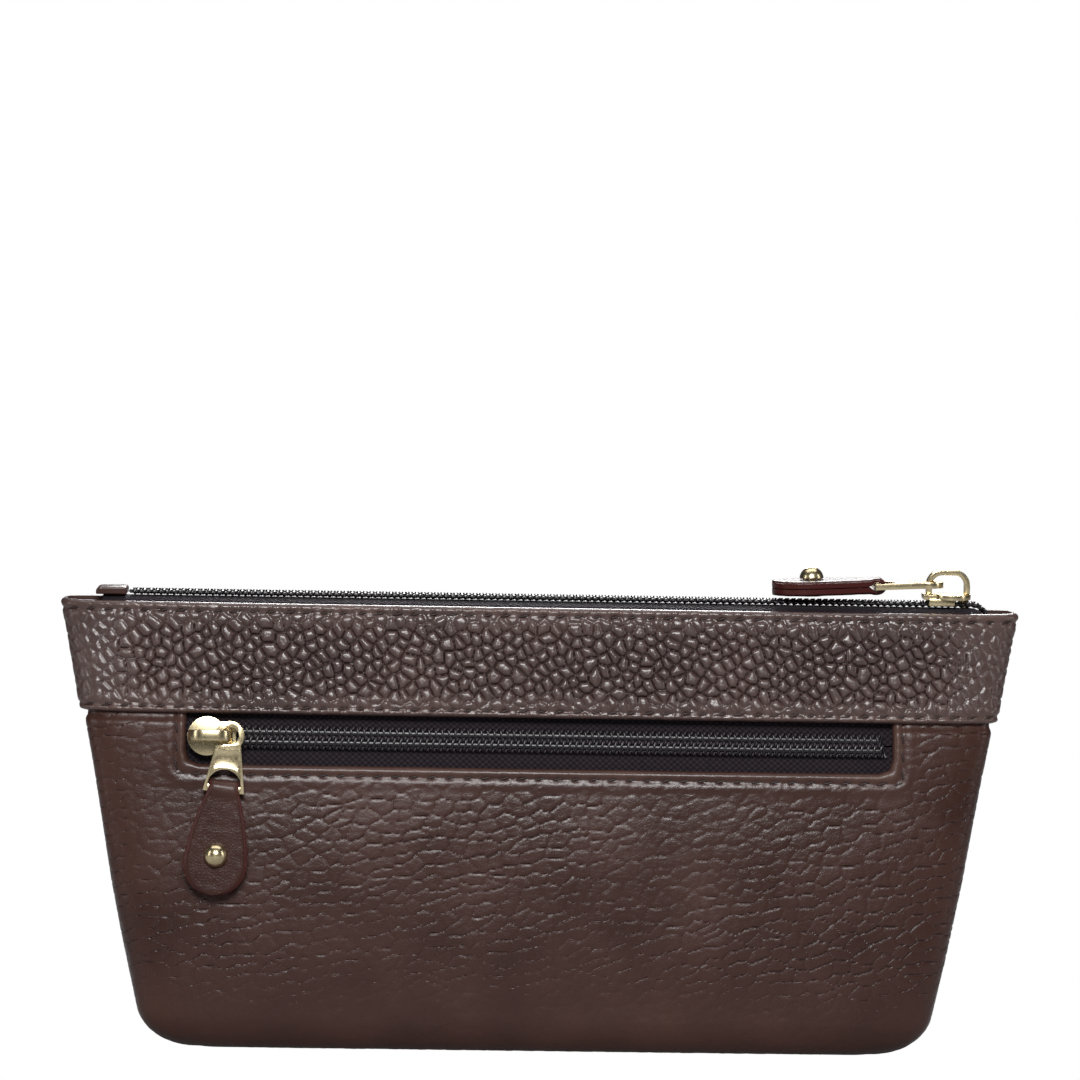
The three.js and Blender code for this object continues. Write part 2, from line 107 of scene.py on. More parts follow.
def start(add, name, scale=(1, 1, 1), **settings):
    clearSelection()
    add(**settings)
    piece = bpy.context.active_object
    piece.scale = scale
    piece.name = name
    piece.data.name = name
    bpy.ops.object.transform_apply(location=True, rotation=True, scale=True)
    return piece


def pick(piece, kind, wanted):
    # leaves the piece in edit mode with only the wanted vertices or faces selected
    choose(piece)
    bpy.ops.object.mode_set(mode="EDIT")
    bpy.ops.mesh.select_mode(type={"vertices": "VERT", "polygons": "FACE"}[kind])
    bpy.ops.mesh.select_all(action="DESELECT")
    bpy.ops.object.mode_set(mode="OBJECT")
    for item in getattr(piece.data, kind):
        item.select = wanted(item)
    bpy.ops.object.mode_set(mode="EDIT")


def everything(item):
    return True


def applied(piece, kind, **settings):
    choose(piece)
    modifier = piece.modifiers.new(kind.title(), kind)
    for key, value in settings.items():
        setattr(modifier, key, value)
    bpy.ops.object.modifier_apply(modifier=modifier.name)
    return piece


def bevelled(piece, width, segments=2, angle=40):
    return applied(piece, "BEVEL", width=width * mm, segments=segments, limit_method="ANGLE",
                   angle_limit=math.radians(angle))


def cut(piece, cutter):
    applied(piece, "BOOLEAN", object=cutter, operation="DIFFERENCE", solver="EXACT")
    bpy.data.objects.remove(cutter)
    return piece


def joined(name, pieces):
    choose(pieces[0])
    for other in pieces[1:]:
        other.select_set(True)
    bpy.ops.object.join()
    pieces[0].name = name
    pieces[0].data.name = name
    return pieces[0]


def outward(piece, merge=1e-7):
    pick(piece, "vertices", everything)
    bpy.ops.mesh.remove_doubles(threshold=merge)
    bpy.ops.mesh.normals_make_consistent(inside=False)
    bpy.ops.object.mode_set(mode="OBJECT")
    return piece


def softened(piece, angle=35):
    choose(piece)
    bpy.ops.object.shade_smooth_by_angle(angle=math.radians(angle))
    return piece


def placed(piece, matrix):
    piece.data.transform(matrix)
    piece.data.update()
    return piece


def copyOf(piece, name):
    other = bpy.data.objects.new(name, piece.data.copy())
    other.data.name = name
    bpy.context.scene.collection.objects.link(other)
    return other


def finished(piece, material, slot, body, *nodes):
    piece.data.materials.clear()
    piece.data.materials.append(material)
    if nodes:
        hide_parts(*nodes)
    if body:
        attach(piece, body)
    return piece


def node(tree, kind, values=None, **settings):
    made = tree.nodes.new(kind)
    for key, value in settings.items():
        setattr(made, key, value)
    for key, value in (values or {}).items():
        made.inputs[key].default_value = value
    return made


def newGroup(name, inputs, outputs):
    tree = bpy.data.node_groups.new(name, "ShaderNodeTree")
    for label, value in inputs:
        socket = tree.interface.new_socket(label, in_out="INPUT", socket_type="NodeSocketFloat")
        socket.default_value = value
    for label, kind in outputs:
        tree.interface.new_socket(label, in_out="OUTPUT", socket_type=kind)
    return tree, tree.nodes.new("NodeGroupInput"), tree.nodes.new("NodeGroupOutput")


def arithmetic(tree, operation, first, second):
    made = node(tree, "ShaderNodeMath", operation=operation)
    for place, value in enumerate((first, second)):
        if isinstance(value, (int, float)):
            made.inputs[place].default_value = value
        else:
            tree.links.new(value, made.inputs[place])
    return made.outputs[0]


# Pores and fine wrinkles in leather: outputs a height and a slow stain.
def poreGroup():
    tree, inlet, outlet = newGroup(
        "fineGrain", [("Pore Size", 1300), ("Wrinkle Size", 420)],
        [("Height", "NodeSocketFloat"), ("Stain", "NodeSocketFloat")])
    place = node(tree, "ShaderNodeTexCoord").outputs["Object"]
    pores = node(tree, "ShaderNodeTexVoronoi", feature="DISTANCE_TO_EDGE")
    wrinkles = node(tree, "ShaderNodeTexNoise", {"Detail": 5, "Roughness": 0.6, "Distortion": 0.8})
    stain = node(tree, "ShaderNodeTexNoise", {"Scale": 55, "Detail": 3})
    for texture in (pores, wrinkles, stain):
        tree.links.new(place, texture.inputs["Vector"])
    tree.links.new(inlet.outputs["Pore Size"], pores.inputs["Scale"])
    tree.links.new(inlet.outputs["Wrinkle Size"], wrinkles.inputs["Scale"])
    edge = node(tree, "ShaderNodeMapRange", {"From Max": 0.18, "To Max": 0.35})
    tree.links.new(pores.outputs["Distance"], edge.inputs["Value"])
    height = arithmetic(tree, "ADD", edge.outputs[0], wrinkles.outputs["Fac"])
    tree.links.new(height, outlet.inputs["Height"])
    tree.links.new(stain.outputs["Fac"], outlet.inputs["Stain"])
    return tree


# Plain weave on a UV map in metres: outputs a height and the thread's light and dark.
def weaveGroup():
    tree, inlet, outlet = newGroup(
        "weave", [("Threads Across", 3000), ("Threads Along", 3000)],
        [("Height", "NodeSocketFloat"), ("Tone", "NodeSocketFloat")])
    place = node(tree, "ShaderNodeUVMap", uv_map="cloth").outputs["UV"]
    parts = node(tree, "ShaderNodeSeparateXYZ")
    tree.links.new(place, parts.inputs[0])
    across = arithmetic(tree, "MULTIPLY", parts.outputs["X"], inlet.outputs["Threads Across"])
    along = arithmetic(tree, "MULTIPLY", parts.outputs["Y"], inlet.outputs["Threads Along"])
    waveAcross = arithmetic(tree, "SINE", across, 0)
    waveAlong = arithmetic(tree, "SINE", along, 0)
    product = arithmetic(tree, "MULTIPLY", waveAcross, waveAlong)
    fuzz = node(tree, "ShaderNodeTexNoise", {"Scale": 900, "Detail": 4})
    tree.links.new(node(tree, "ShaderNodeTexCoord").outputs["Object"], fuzz.inputs["Vector"])
    height = arithmetic(tree, "ADD", product, fuzz.outputs["Fac"])
    tree.links.new(height, outlet.inputs["Height"])
    tone = node(tree, "ShaderNodeMapRange", {"From Min": -0.6, "From Max": 1.6})
    tree.links.new(height, tone.inputs["Value"])
    tree.links.new(tone.outputs[0], outlet.inputs["Tone"])
    return tree


fineGrain = poreGroup()
weave = weaveGroup()


def shader(name, roughness, **sockets):
    material = bpy.data.materials.new(name)
    material.use_nodes = True
    surface = material.node_tree.nodes["Principled BSDF"]
    surface.inputs["Roughness"].default_value = roughness
    for key, value in sockets.items():
        surface.inputs[key.replace("_", " ")].default_value = value
    return material, material.node_tree, surface


def mixed(tree, factor, first, second):
    made = node(tree, "ShaderNodeMix", data_type="RGBA")
    tree.links.new(factor, made.inputs["Factor"])
    for socket, colour in ((6, first), (7, second)):
        if isinstance(colour, tuple):
            made.inputs[socket].default_value = (*colour, 1)
        else:
            tree.links.new(colour, made.inputs[socket])
    return made.outputs[2]


def bumped(tree, surface, height, strength, distance):
    bump = node(tree, "ShaderNodeBump", {"Strength": strength, "Distance": distance})
    tree.links.new(height, bump.inputs["Height"])
    tree.links.new(bump.outputs[0], surface.inputs["Normal"])


leatherLook = dict(
    # the crease colour is a painted shade for the creases; the top colour is the leather's own
    crease=(0.014, 0.0045, 0.0035), top=(0.047, 0.0185, 0.0135), wearAndFoldHighlight=(0.085, 0.045, 0.036),
    # the paler colour at the end of the line above paints wear on turned edges and a painted highlight on a
    # puller's fold
    edge=(0.055, 0.01, 0.008),    # the painted edge of a puller
    roughTop=0.34, roughCrease=0.6, creaseWidth=0.12, specular=0.36, pores=1300, bump=0.32,
)
# the band's leather is painted paler, a painted highlight for the light the band catches, and is more
# polished on its domes; its creases are painted darker, a painted shade
bandHighlitLook = dict(
    leatherLook, crease=(0.026, 0.008, 0.0055), top=(0.068, 0.038, 0.033), roughTop=0.34, creaseWidth=0.12,
    specular=0.72,
)
pullerLook = dict(leatherLook, top=(0.042, 0.0155, 0.0115), specular=0.22, pores=1700, bump=0.4)
metalLook = dict(shade=(0.7, 0.58, 0.34), light=(0.8, 0.68, 0.44), polished=0.22, dull=0.3)


# Grained leather. The attributes come from the mesh: grain is the way to the nearest crease, where the crease
# colour paints a darker painted shade; hem is 1 on a turned edge, painted paler as wear, and round a puller's
# fold, where the same paler colour is a painted highlight.
def leatherMaterial(name, look):
    material, tree, surface = shader(name, 0.5, Specular_IOR_Level=look["specular"], Coat_Weight=0.08,
                                     Coat_Roughness=0.2, Sheen_Weight=0.02, Sheen_Roughness=0.4)
    surface.inputs["Sheen Tint"].default_value = (0.62, 0.55, 0.68, 1)
    fine = node(tree, "ShaderNodeGroup", node_tree=fineGrain)
    fine.inputs["Pore Size"].default_value = look["pores"]
    stain = fine.outputs["Stain"]
    grain = node(tree, "ShaderNodeAttribute", attribute_name="grain")
    hem = node(tree, "ShaderNodeAttribute", attribute_name="hem")
    crease = node(tree, "ShaderNodeMapRange", {"To Min": 0.0, "From Max": look["creaseWidth"]},
                  interpolation_type="SMOOTHSTEP")
    tree.links.new(grain.outputs["Fac"], crease.inputs["Value"])
    # painted shade: the creases take the darker crease colour
    base = mixed(tree, crease.outputs[0], look["crease"], look["top"])
    # paler colour from the hem field: real wear on turned edges, a painted highlight on a puller's fold
    wearAndHighlightMask = arithmetic(tree, "MULTIPLY", hem.outputs["Fac"], 1.1)
    wearAndHighlightShare = arithmetic(tree, "MULTIPLY", stain, wearAndHighlightMask)
    wearAndFoldHighlight = mixed(tree, wearAndHighlightShare, base, look["wearAndFoldHighlight"])
    stained = node(tree, "ShaderNodeMix", {"Factor": 0.5}, data_type="RGBA", blend_type="OVERLAY")
    tree.links.new(wearAndFoldHighlight, stained.inputs[6])
    tree.links.new(stain, stained.inputs[7])
    tree.links.new(stained.outputs[2], surface.inputs["Base Color"])
    rough = node(tree, "ShaderNodeMapRange", {"To Min": look["roughCrease"], "To Max": look["roughTop"]})
    tree.links.new(crease.outputs[0], rough.inputs["Value"])
    patchy = arithmetic(tree, "MULTIPLY", arithmetic(tree, "SUBTRACT", stain, 0.5), 0.3)
    tree.links.new(arithmetic(tree, "ADD", rough.outputs[0], patchy), surface.inputs["Roughness"])
    deep = arithmetic(tree, "MULTIPLY", crease.outputs[0], 1.8)
    shallow = arithmetic(tree, "MULTIPLY", fine.outputs["Height"], look["bump"])
    bumped(tree, surface, arithmetic(tree, "ADD", deep, shallow), 1.0, 0.0001)
    return material


# The painted edge of the pullers shows where the attribute edge is 1.
def pullerMaterial():
    material = leatherMaterial("puller_leather", pullerLook)
    tree = material.node_tree
    surface = tree.nodes["Principled BSDF"]
    edge = node(tree, "ShaderNodeAttribute", attribute_name="edge")
    under = surface.inputs["Base Color"].links[0].from_socket
    tree.links.new(mixed(tree, edge.outputs["Fac"], under, pullerLook["edge"]), surface.inputs["Base Color"])
    return material


def metalMaterial():
    material, tree, surface = shader("pale_gold", 0.2, Metallic=1.0)
    place = node(tree, "ShaderNodeTexCoord").outputs["Object"]
    cloud = node(tree, "ShaderNodeTexNoise", {"Scale": 260, "Detail": 4})
    scratches = node(tree, "ShaderNodeTexNoise", {"Scale": 900, "Detail": 6, "Distortion": 2.5})
    for texture in (cloud, scratches):
        tree.links.new(place, texture.inputs["Vector"])
    tone = mixed(tree, cloud.outputs["Fac"], metalLook["shade"], metalLook["light"])
    tree.links.new(tone, surface.inputs["Base Color"])
    scratched = {"From Min": 0.3, "From Max": 0.7}
    scratched.update({"To Min": metalLook["polished"], "To Max": metalLook["dull"]})
    rough = node(tree, "ShaderNodeMapRange", scratched)
    tree.links.new(scratches.outputs["Fac"], rough.inputs["Value"])
    tree.links.new(rough.outputs[0], surface.inputs["Roughness"])
    bumped(tree, surface, scratches.outputs["Fac"], 0.05, 0.00002)
    return material


def clothMaterial(name, dark, light, across, along, roughness=0.85):
    material, tree, surface = shader(name, roughness, Specular_IOR_Level=0.2, Sheen_Weight=0.05,
                                     Sheen_Roughness=0.5)
    threads = node(tree, "ShaderNodeGroup", node_tree=weave)
    threads.inputs["Threads Across"].default_value = across
    threads.inputs["Threads Along"].default_value = along
    tree.links.new(mixed(tree, threads.outputs["Tone"], dark, light), surface.inputs["Base Color"])
    rough = node(tree, "ShaderNodeMapRange", {"To Min": roughness, "To Max": roughness - 0.2})
    tree.links.new(threads.outputs["Tone"], rough.inputs["Value"])
    tree.links.new(rough.outputs[0], surface.inputs["Roughness"])
    bumped(tree, surface, threads.outputs["Height"], 0.5, 0.00012)
    return material


def plasticMaterial(name, dark, light, roughness, scale):
    material, tree, surface = shader(name, roughness, Specular_IOR_Level=0.5)
    cloud = node(tree, "ShaderNodeTexNoise", {"Scale": scale, "Detail": 3})
    tree.links.new(node(tree, "ShaderNodeTexCoord").outputs["Object"], cloud.inputs["Vector"])
    tree.links.new(mixed(tree, cloud.outputs["Fac"], dark, light), surface.inputs["Base Color"])
    rough = node(tree, "ShaderNodeMapRange", {"To Min": roughness - 0.1, "To Max": roughness + 0.15})
    tree.links.new(cloud.outputs["Fac"], rough.inputs["Value"])
    tree.links.new(rough.outputs[0], surface.inputs["Roughness"])
    bumped(tree, surface, cloud.outputs["Fac"], 0.2, 0.00004)
    return material


bodyLeather = leatherMaterial("body_leather", leatherLook)
# painted highlight: the band's leather is a paler copy of the body leather
bandHighlitLeather = leatherMaterial("band_leather", bandHighlitLook)
pullerLeather = pullerMaterial()
paleGold = metalMaterial()
liningCloth = clothMaterial("lining_cloth", (0.02, 0.012, 0.014), (0.06, 0.04, 0.045), 9000, 9000)
tapeCloth = clothMaterial("zip_tape", (0.003, 0.0015, 0.003), (0.02, 0.0115, 0.0185), 4833, 5500, 0.8)
coilNylon = plasticMaterial("zip_coil", (0.004, 0.0025, 0.004), (0.012, 0.008, 0.011), 0.3, 700)
hookThread = plasticMaterial("zip_thread", (0.02, 0.014, 0.019), (0.07, 0.054, 0.067), 0.6, 1800)
mouthThread = plasticMaterial("mouth_thread", (0.008, 0.005, 0.007), (0.03, 0.02, 0.026), 0.5, 1800)
seamThread = plasticMaterial("seam_thread", (0.008, 0.003, 0.003), (0.03, 0.013, 0.011), 0.5, 1800)
print("materials made")


def smooth(low, high, value):
    share = np.clip((value - low) / (high - low), 0, 1)
    return share * share * (3 - 2 * share)


def halfWidthAt(z):
    return pouch["halfWidth"] + pouch["flare"] * z


def wallPoint(side, column, z):
    p = pouch
    rounding = np.sqrt(np.maximum(0, 1 - (1 - np.minimum(z, p["cornerHeight"]) / p["cornerHeight"]) ** 2))
    width = halfWidthAt(z) - p["cornerWidth"] * (1 - rounding)
    depth = p["halfDepth"] - (p["halfDepth"] - p["mouthHalfDepth"]) * (z / p["height"]) ** 1.4
    depth = depth - p["cornerDepth"] * (1 - rounding)
    power = 9 - 4.5 * smooth(58, p["height"], z)
    share = (1 - np.minimum(1, np.abs(column)) ** power) ** (1 / power)
    return np.stack([column * width, side * share * depth, z + 0 * column], axis=-1)


def wallNormal(side, column, z):
    inside = np.clip(column, -0.999, 0.999)
    low = np.maximum(z, 0.2)
    along = wallPoint(side, inside + 0.0008, low) - wallPoint(side, inside - 0.0008, low)
    up = wallPoint(side, inside, low + 0.05) - wallPoint(side, inside, low - 0.05)
    normal = -side * np.cross(along, up)
    normal /= np.linalg.norm(normal, axis=-1, keepdims=True)
    seam = np.abs(column) > 0.999
    return np.where(seam[..., None], np.stack([np.sign(column), 0 * column, 0 * column], -1), normal)


def wallInside(side, column, z, depth):
    point = wallPoint(side, column, z) - wallNormal(side, column, z) * np.asarray(depth)[..., None]
    point[..., 1] = side * np.maximum(side * point[..., 1], pouch["seamGap"])
    return point


# Columns even along the wall between two shares of the half-width, at one height.
def evenColumns(side, low, high, z, count):
    dense = low + (high - low) * np.linspace(0, 1, 1600)
    line = wallPoint(side, dense, np.full_like(dense, z))
    travel = np.concatenate([[0], np.cumsum(np.linalg.norm(np.diff(line, axis=0), axis=1))])
    return np.interp(np.linspace(0, travel[-1], count + 1), travel, dense)


# A shell has a fine outer face, a coarse inner face and walls round each edge. kept says which of
# the coarse cells are there.
def shell(name, outer, inner, kept, fine=4, values=None, cloth=None):
    outerIndex = np.arange(outer.shape[0] * outer.shape[1]).reshape(outer.shape[:2])
    innerIndex = outerIndex.size + np.arange(inner.shape[0] * inner.shape[1]).reshape(inner.shape[:2])
    mask = np.repeat(np.repeat(kept, fine, 0), fine, 1)
    quads = np.stack([outerIndex[:-1, :-1], outerIndex[:-1, 1:], outerIndex[1:, 1:], outerIndex[1:, :-1]], -1)
    faces = quads[mask].tolist()
    quads = np.stack([innerIndex[:-1, :-1], innerIndex[1:, :-1], innerIndex[1:, 1:], innerIndex[:-1, 1:]], -1)
    faces += quads[kept].tolist()

    def absent(j, i):
        return not (0 <= j < kept.shape[0] and 0 <= i < kept.shape[1] and kept[j, i])

    for j, i in np.argwhere(kept):
        j0, j1, i0, i1 = j * fine, j * fine + fine, i * fine, i * fine + fine
        if absent(j - 1, i):
            rim = outerIndex[j0, i0:i1 + 1][::-1].tolist()
            faces.append([*rim, int(innerIndex[j, i]), int(innerIndex[j, i + 1])])
        if absent(j + 1, i):
            rim = outerIndex[j1, i0:i1 + 1].tolist()
            faces.append([*rim, int(innerIndex[j + 1, i + 1]), int(innerIndex[j + 1, i])])
        if absent(j, i - 1):
            rim = outerIndex[j0:j1 + 1, i0].tolist()
            faces.append([*rim, int(innerIndex[j + 1, i]), int(innerIndex[j, i])])
        if absent(j, i + 1):
            rim = outerIndex[j0:j1 + 1, i1][::-1].tolist()
            faces.append([*rim, int(innerIndex[j, i + 1]), int(innerIndex[j + 1, i + 1])])

    points = np.concatenate([outer.reshape(-1, 3), inner.reshape(-1, 3)])
    used = np.zeros(len(points), bool)
    used[np.concatenate([np.array(face) for face in faces])] = True
    renumbered = np.cumsum(used) - 1
    mesh = bpy.data.meshes.new(name)
    mesh.from_pydata((points[used] * mm).tolist(), [], [renumbered[face].tolist() for face in faces])
    for label, field in (values or {}).items():
        whole = np.concatenate([field.reshape(-1), field[::fine, ::fine].reshape(-1) * 0 + 0.4])
        mesh.attributes.new(label, "FLOAT", "POINT").data.foreach_set("value", whole[used].astype(np.float32))
    if cloth is not None:
        whole = np.concatenate([cloth.reshape(-1, 2), cloth[::fine, ::fine].reshape(-1, 2)])[used] * mm
        corners = np.zeros(len(mesh.loops), np.int32)
        mesh.loops.foreach_get("vertex_index", corners)
        mesh.uv_layers.new(name="cloth").data.foreach_set("uv", whole[corners].reshape(-1).astype(np.float32))
    piece = bpy.data.objects.new(name, mesh)
    bpy.context.scene.collection.objects.link(piece)
    pick(piece, "vertices", everything)
    bpy.ops.mesh.normals_make_consistent(inside=False)
    bpy.ops.object.mode_set(mode="OBJECT")
    return softened(piece, 50)


grainPlan = dict(
    band=dict(width=2.2, height=2.5, lean=36, dome=0.42, round=2.6, depth=0.62, jitter=0.62, level=0.0,
              seed=3),
    panel=dict(width=3.7, height=2.4, lean=9, dome=0.13, round=1.6, depth=0.22, jitter=0.85, level=0.42,
               seed=8),
)


# Staggered cells with moved middles: outputs how far each place is from its cell's border, in cells,
# and how level that border runs.
def creases(x, z, plan):
    turn = math.radians(plan["lean"])
    across = (x * math.cos(turn) + z * math.sin(turn)) / plan["width"]
    along = (z * math.cos(turn) - x * math.sin(turn)) / plan["height"]
    across = across + 0.3 * slowNoise(x, z, 5.5, plan["seed"] + 0.3)
    along = along + 0.3 * slowNoise(x, z, 4.5, plan["seed"] + 7.1)
    table = np.random.default_rng(plan["seed"]).random((256, 256, 2)) - 0.5
    first = np.full(across.shape, 99.0)
    second = first.copy()
    near = np.zeros((*across.shape, 2))
    nextTo = near.copy()
    for down in (-1, 0, 1):
        row = np.floor(along).astype(int) + down
        shift = 0.5 * (row % 2)
        for over in (-2, -1, 0, 1, 2):
            column = np.floor(across - shift).astype(int) + over
            move = table[column % 256, row % 256] * plan["jitter"]
            spotAcross = column + shift + 0.5 + move[..., 0] - across
            spotAlong = row + 0.5 + move[..., 1] - along
            spot = np.stack([spotAcross, spotAlong], -1)
            far = (spot ** 2).sum(-1)
            closer, middling = far < first, (far >= first) & (far < second)
            nextTo = np.where(closer[..., None], near, np.where(middling[..., None], spot, nextTo))
            second = np.where(closer, first, np.where(middling, far, second))
            near = np.where(closer[..., None], spot, near)
            first = np.where(closer, far, first)
    apart = nextTo - near
    length = np.maximum(np.linalg.norm(apart, axis=-1), 1e-6)
    border = (second - first) / (2 * length)
    return border, np.abs(apart[..., 1]) / length


def slowNoise(x, z, size, seed):
    values = [noise.noise(Vector((a / size, b / size, seed))) for a, b in zip(x.reshape(-1), z.reshape(-1))]
    return np.array(values).reshape(x.shape)


# A turned edge: rounded at its rim, puffed, then pulled down at the row of stitches.
def hemShape(away, travel, stitchAt, rounding=0.75):
    rim = rounding * (1 - np.sqrt(np.clip(1 - (1 - np.clip(away / (rounding * 1.4), 0, 1)) ** 2, 0, 1)))
    puff = 0.16 * np.exp(-((away - stitchAt * 0.5) / (stitchAt * 0.4)) ** 2)
    puff = puff + 0.13 * np.exp(-((away - stitchAt - 1.4) / 0.9) ** 2)
    groove = 0.32 * np.exp(-((away - stitchAt) / 0.42) ** 2)
    hole = np.cos(travel * 2 * math.pi / stitchPlan["pitch"]) * 0.5 + 0.5
    return puff - rim - groove * (0.55 + 0.75 * hole ** 3)


# The window's lower corners are rounded by drawing the wall in towards the opening round each one.
def roundedWindow(columns, heights):
    radius = windowPlan["corner"]
    x = columns * halfWidthAt(heights)
    away = np.hypot(np.abs(x) - windowPlan["halfWidth"], heights - windowPlan["low"])
    draw = (1 - 1 / math.sqrt(2)) * radius * np.clip(1 - away / radius, 0, 1)
    return (x - np.sign(x) * draw) / halfWidthAt(heights), heights + draw


def leatherWall(name, side, columns, heights, depthAt, thickness, grain, hems, kept=None, fade=None,
                sag=None):
    x = wallPoint(side, columns, heights)
    travel = np.cumsum(np.linalg.norm(np.diff(x, axis=1, prepend=x[:, :1]), axis=-1), axis=1)
    travel -= travel[:, -1:] / 2
    if columns[0, -1] < 0.01:
        travel -= travel[:, -1:]
    if columns[0, 0] > -0.01:
        travel -= travel[:, :1]
    gap, level = creases(travel, heights, grain)
    strength = np.ones_like(gap) if fade is None else fade(travel, heights)
    strength = np.minimum(strength, 1) * (1 - grain["level"] * (1 - level ** 2))
    relief = 1 - (1 - np.clip(gap / grain["dome"], 0, 1)) ** grain["round"]
    small = slowNoise(travel, heights, 0.9, grain["seed"]) * 0.03 + slowNoise(travel, heights, 2.2, 5) * 0.04
    rise = grain["depth"] * strength * (relief - 0.75) + small
    ridge = np.clip(gap + (1 - strength) * 0.16, 0, 1)
    wearAndFoldHighlight = np.zeros_like(gap)
    for away, stitchAt in hems(travel, heights):
        near = np.exp(-(away / (stitchAt + 1)) ** 2)
        rise = rise * (1 - 0.75 * near) + hemShape(away, travel, stitchAt)
        ridge = ridge + near * 0.6
        wearAndFoldHighlight = np.maximum(wearAndFoldHighlight, np.exp(-((away - 0.9) / 0.8) ** 2))
    bulge = 0 if sag is None else sag(travel, heights)
    base = depthAt(heights)
    if kept is not None:
        columns, heights = roundedWindow(columns, heights)
    outer = wallInside(side, columns, heights, base - rise - bulge)
    coarse = (slice(None, None, 4), slice(None, None, 4))
    settled = base - bulge
    inner = wallInside(side, columns[coarse], heights[coarse], (settled + thickness)[coarse])
    if kept is None:
        kept = np.ones((columns.shape[0] // 4, columns.shape[1] // 4), bool)
    return shell(name, outer, inner, kept, values=dict(grain=np.clip(ridge, 0, 1), hem=np.clip(wearAndFoldHighlight, 0, 1)))


def wallGrid(side, heights, sections):
    # sections are (low, high, count) with low and high as functions of the height
    rows = []
    for z in heights:
        line = [evenColumns(side, low(z), high(z), z, count)[:-1] for low, high, count in sections]
        rows.append(np.concatenate([*line, [sections[-1][1](z)]]))
    columns = np.array(rows)
    return columns, np.repeat(np.array(heights)[:, None], columns.shape[1], 1)


def atWindow(sign):
    return lambda z: sign * windowPlan["halfWidth"] / halfWidthAt(z)


def flat(value):
    return lambda z: value


cornerStart = math.acos(1 - 0.35 / pouch["cornerHeight"])
cornerTurns = np.linspace(cornerStart, math.pi / 2, 21)[:-1]
cornerRows = [pouch["cornerHeight"] * (1 - math.cos(turn)) for turn in cornerTurns]
panelTop = 69.5


def panelDepth(z):
    return 0.8 * smooth(64.4, 66.4, z)


def panelFade(travel, z):
    low = 0.3 + 0.7 * smooth(4, 20, z)
    return low * (0.82 + 0.35 * slowNoise(travel, z, 34, 2.2))


# The wall hangs a little fuller in places and buckles softly near its lower corners.
def wallSag(travel, z):
    belly = 0.5 * smooth(2, 26, z) * (1 - smooth(30, 58, z))
    waves = 0.32 * slowNoise(travel * 0.5, z, 17, 6.4)
    return (belly + waves) * (1 - smooth(50, 58, z)) * smooth(1, 9, z)


def frontPanel():
    lower = np.linspace(pouch["cornerHeight"], windowPlan["low"], 125)[:-1]
    upper = np.linspace(windowPlan["low"], panelTop, 33)
    heights = [*cornerRows, *lower, *upper]
    middle = (atWindow(-1), atWindow(1), 364)
    columns, z = wallGrid(-1, heights, [(flat(-1), atWindow(-1), 60), middle, (atWindow(1), flat(1), 60)])
    kept = np.ones((columns.shape[0] // 4, columns.shape[1] // 4), bool)
    kept[-8:, 15:-15] = False

    def hems(travel, height):
        edge = windowPlan["halfWidth"]
        beside = np.where(height > windowPlan["low"], np.abs(np.abs(travel) - edge), 99)
        below = np.where(np.abs(travel) < edge, np.abs(height - windowPlan["low"]), 99)
        corner = np.hypot(np.maximum(np.abs(travel) - edge, 0), np.maximum(windowPlan["low"] - height, 0))
        away = np.minimum(np.minimum(beside, below), corner)
        return [(away, windowPlan["stitchBelow"])]

    piece = leatherWall("front_panel_leather", -1, columns, z, panelDepth, pouch["leather"],
                        grainPlan["panel"], hems, kept, panelFade, wallSag)
    return finished(piece, bodyLeather, "body_leather", "front", "front_panel")


def bandHems(travel, height):
    fromBelow = (height - bandPlan["low"], bandPlan["stitchUp"])
    fromAbove = (pouch["height"] - height, bandPlan["stitchDown"])
    return [fromBelow, fromAbove]


def bandFade(travel, height):
    return 1 - 0.55 * smooth(76, 92, np.abs(travel))


def bandDepth(z):
    return -bandPlan["proud"] + 0 * z


bandThickness = bandPlan["proud"] + bandPlan["inner"]


def bandHeights(count):
    return np.linspace(bandPlan["low"], pouch["height"], count)


def frontBand():
    columns, z = wallGrid(-1, bandHeights(97), [(flat(-1), flat(0), 432), (flat(0), flat(1), 432)])
    piece = leatherWall("front_band_leather", -1, columns, z, bandDepth, bandThickness, grainPlan["band"],
                        bandHems, fade=bandFade)
    return finished(piece, bandHighlitLeather, "body_leather", "front", "front_band")


# The back wall's pieces come in two halves, one on each side of the middle.
backSides = dict(left=((-0.078, 0, 0), (-0.012, 0, 0)), right=((0.088, 0, 0), (0.022, 0, 0)))
halfSpans = dict(left=(flat(-1), flat(0)), right=(flat(0), flat(1)))


def onBackWall(piece, sideName):
    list(backSides[sideName])
    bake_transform(piece)
    return piece


def noHems(travel, height):
    return []


def backPanels():
    lower = np.linspace(pouch["cornerHeight"], panelTop, 125)
    for sideName, span in halfSpans.items():
        columns, z = wallGrid(1, [*cornerRows, *lower], [(*span, 236)])
        piece = leatherWall(f"back_panel_{sideName}", 1, columns, z, panelDepth, pouch["leather"],
                            grainPlan["panel"], noHems, fade=panelFade, sag=wallSag)
        finished(piece, bodyLeather, "body_leather", None, "back_panel")
        onBackWall(piece, sideName)


def backBands():
    for sideName, span in halfSpans.items():
        columns, z = wallGrid(1, bandHeights(53), [(*span, 240)])
        piece = leatherWall(f"back_band_{sideName}", 1, columns, z, bandDepth, bandThickness,
                            grainPlan["band"], bandHems, fade=bandFade)
        finished(piece, bandHighlitLeather, "body_leather", None, "back_band")
        onBackWall(piece, sideName)


# One stitch is modelled and the rest are copied along each row.
def stitchShape(name, length, width):
    return start(bpy.ops.mesh.primitive_uv_sphere_add, name, segments=8, ring_count=6,
                 scale=(length / 2 * mm, width / 2 * mm, width / 2 * mm), radius=1)


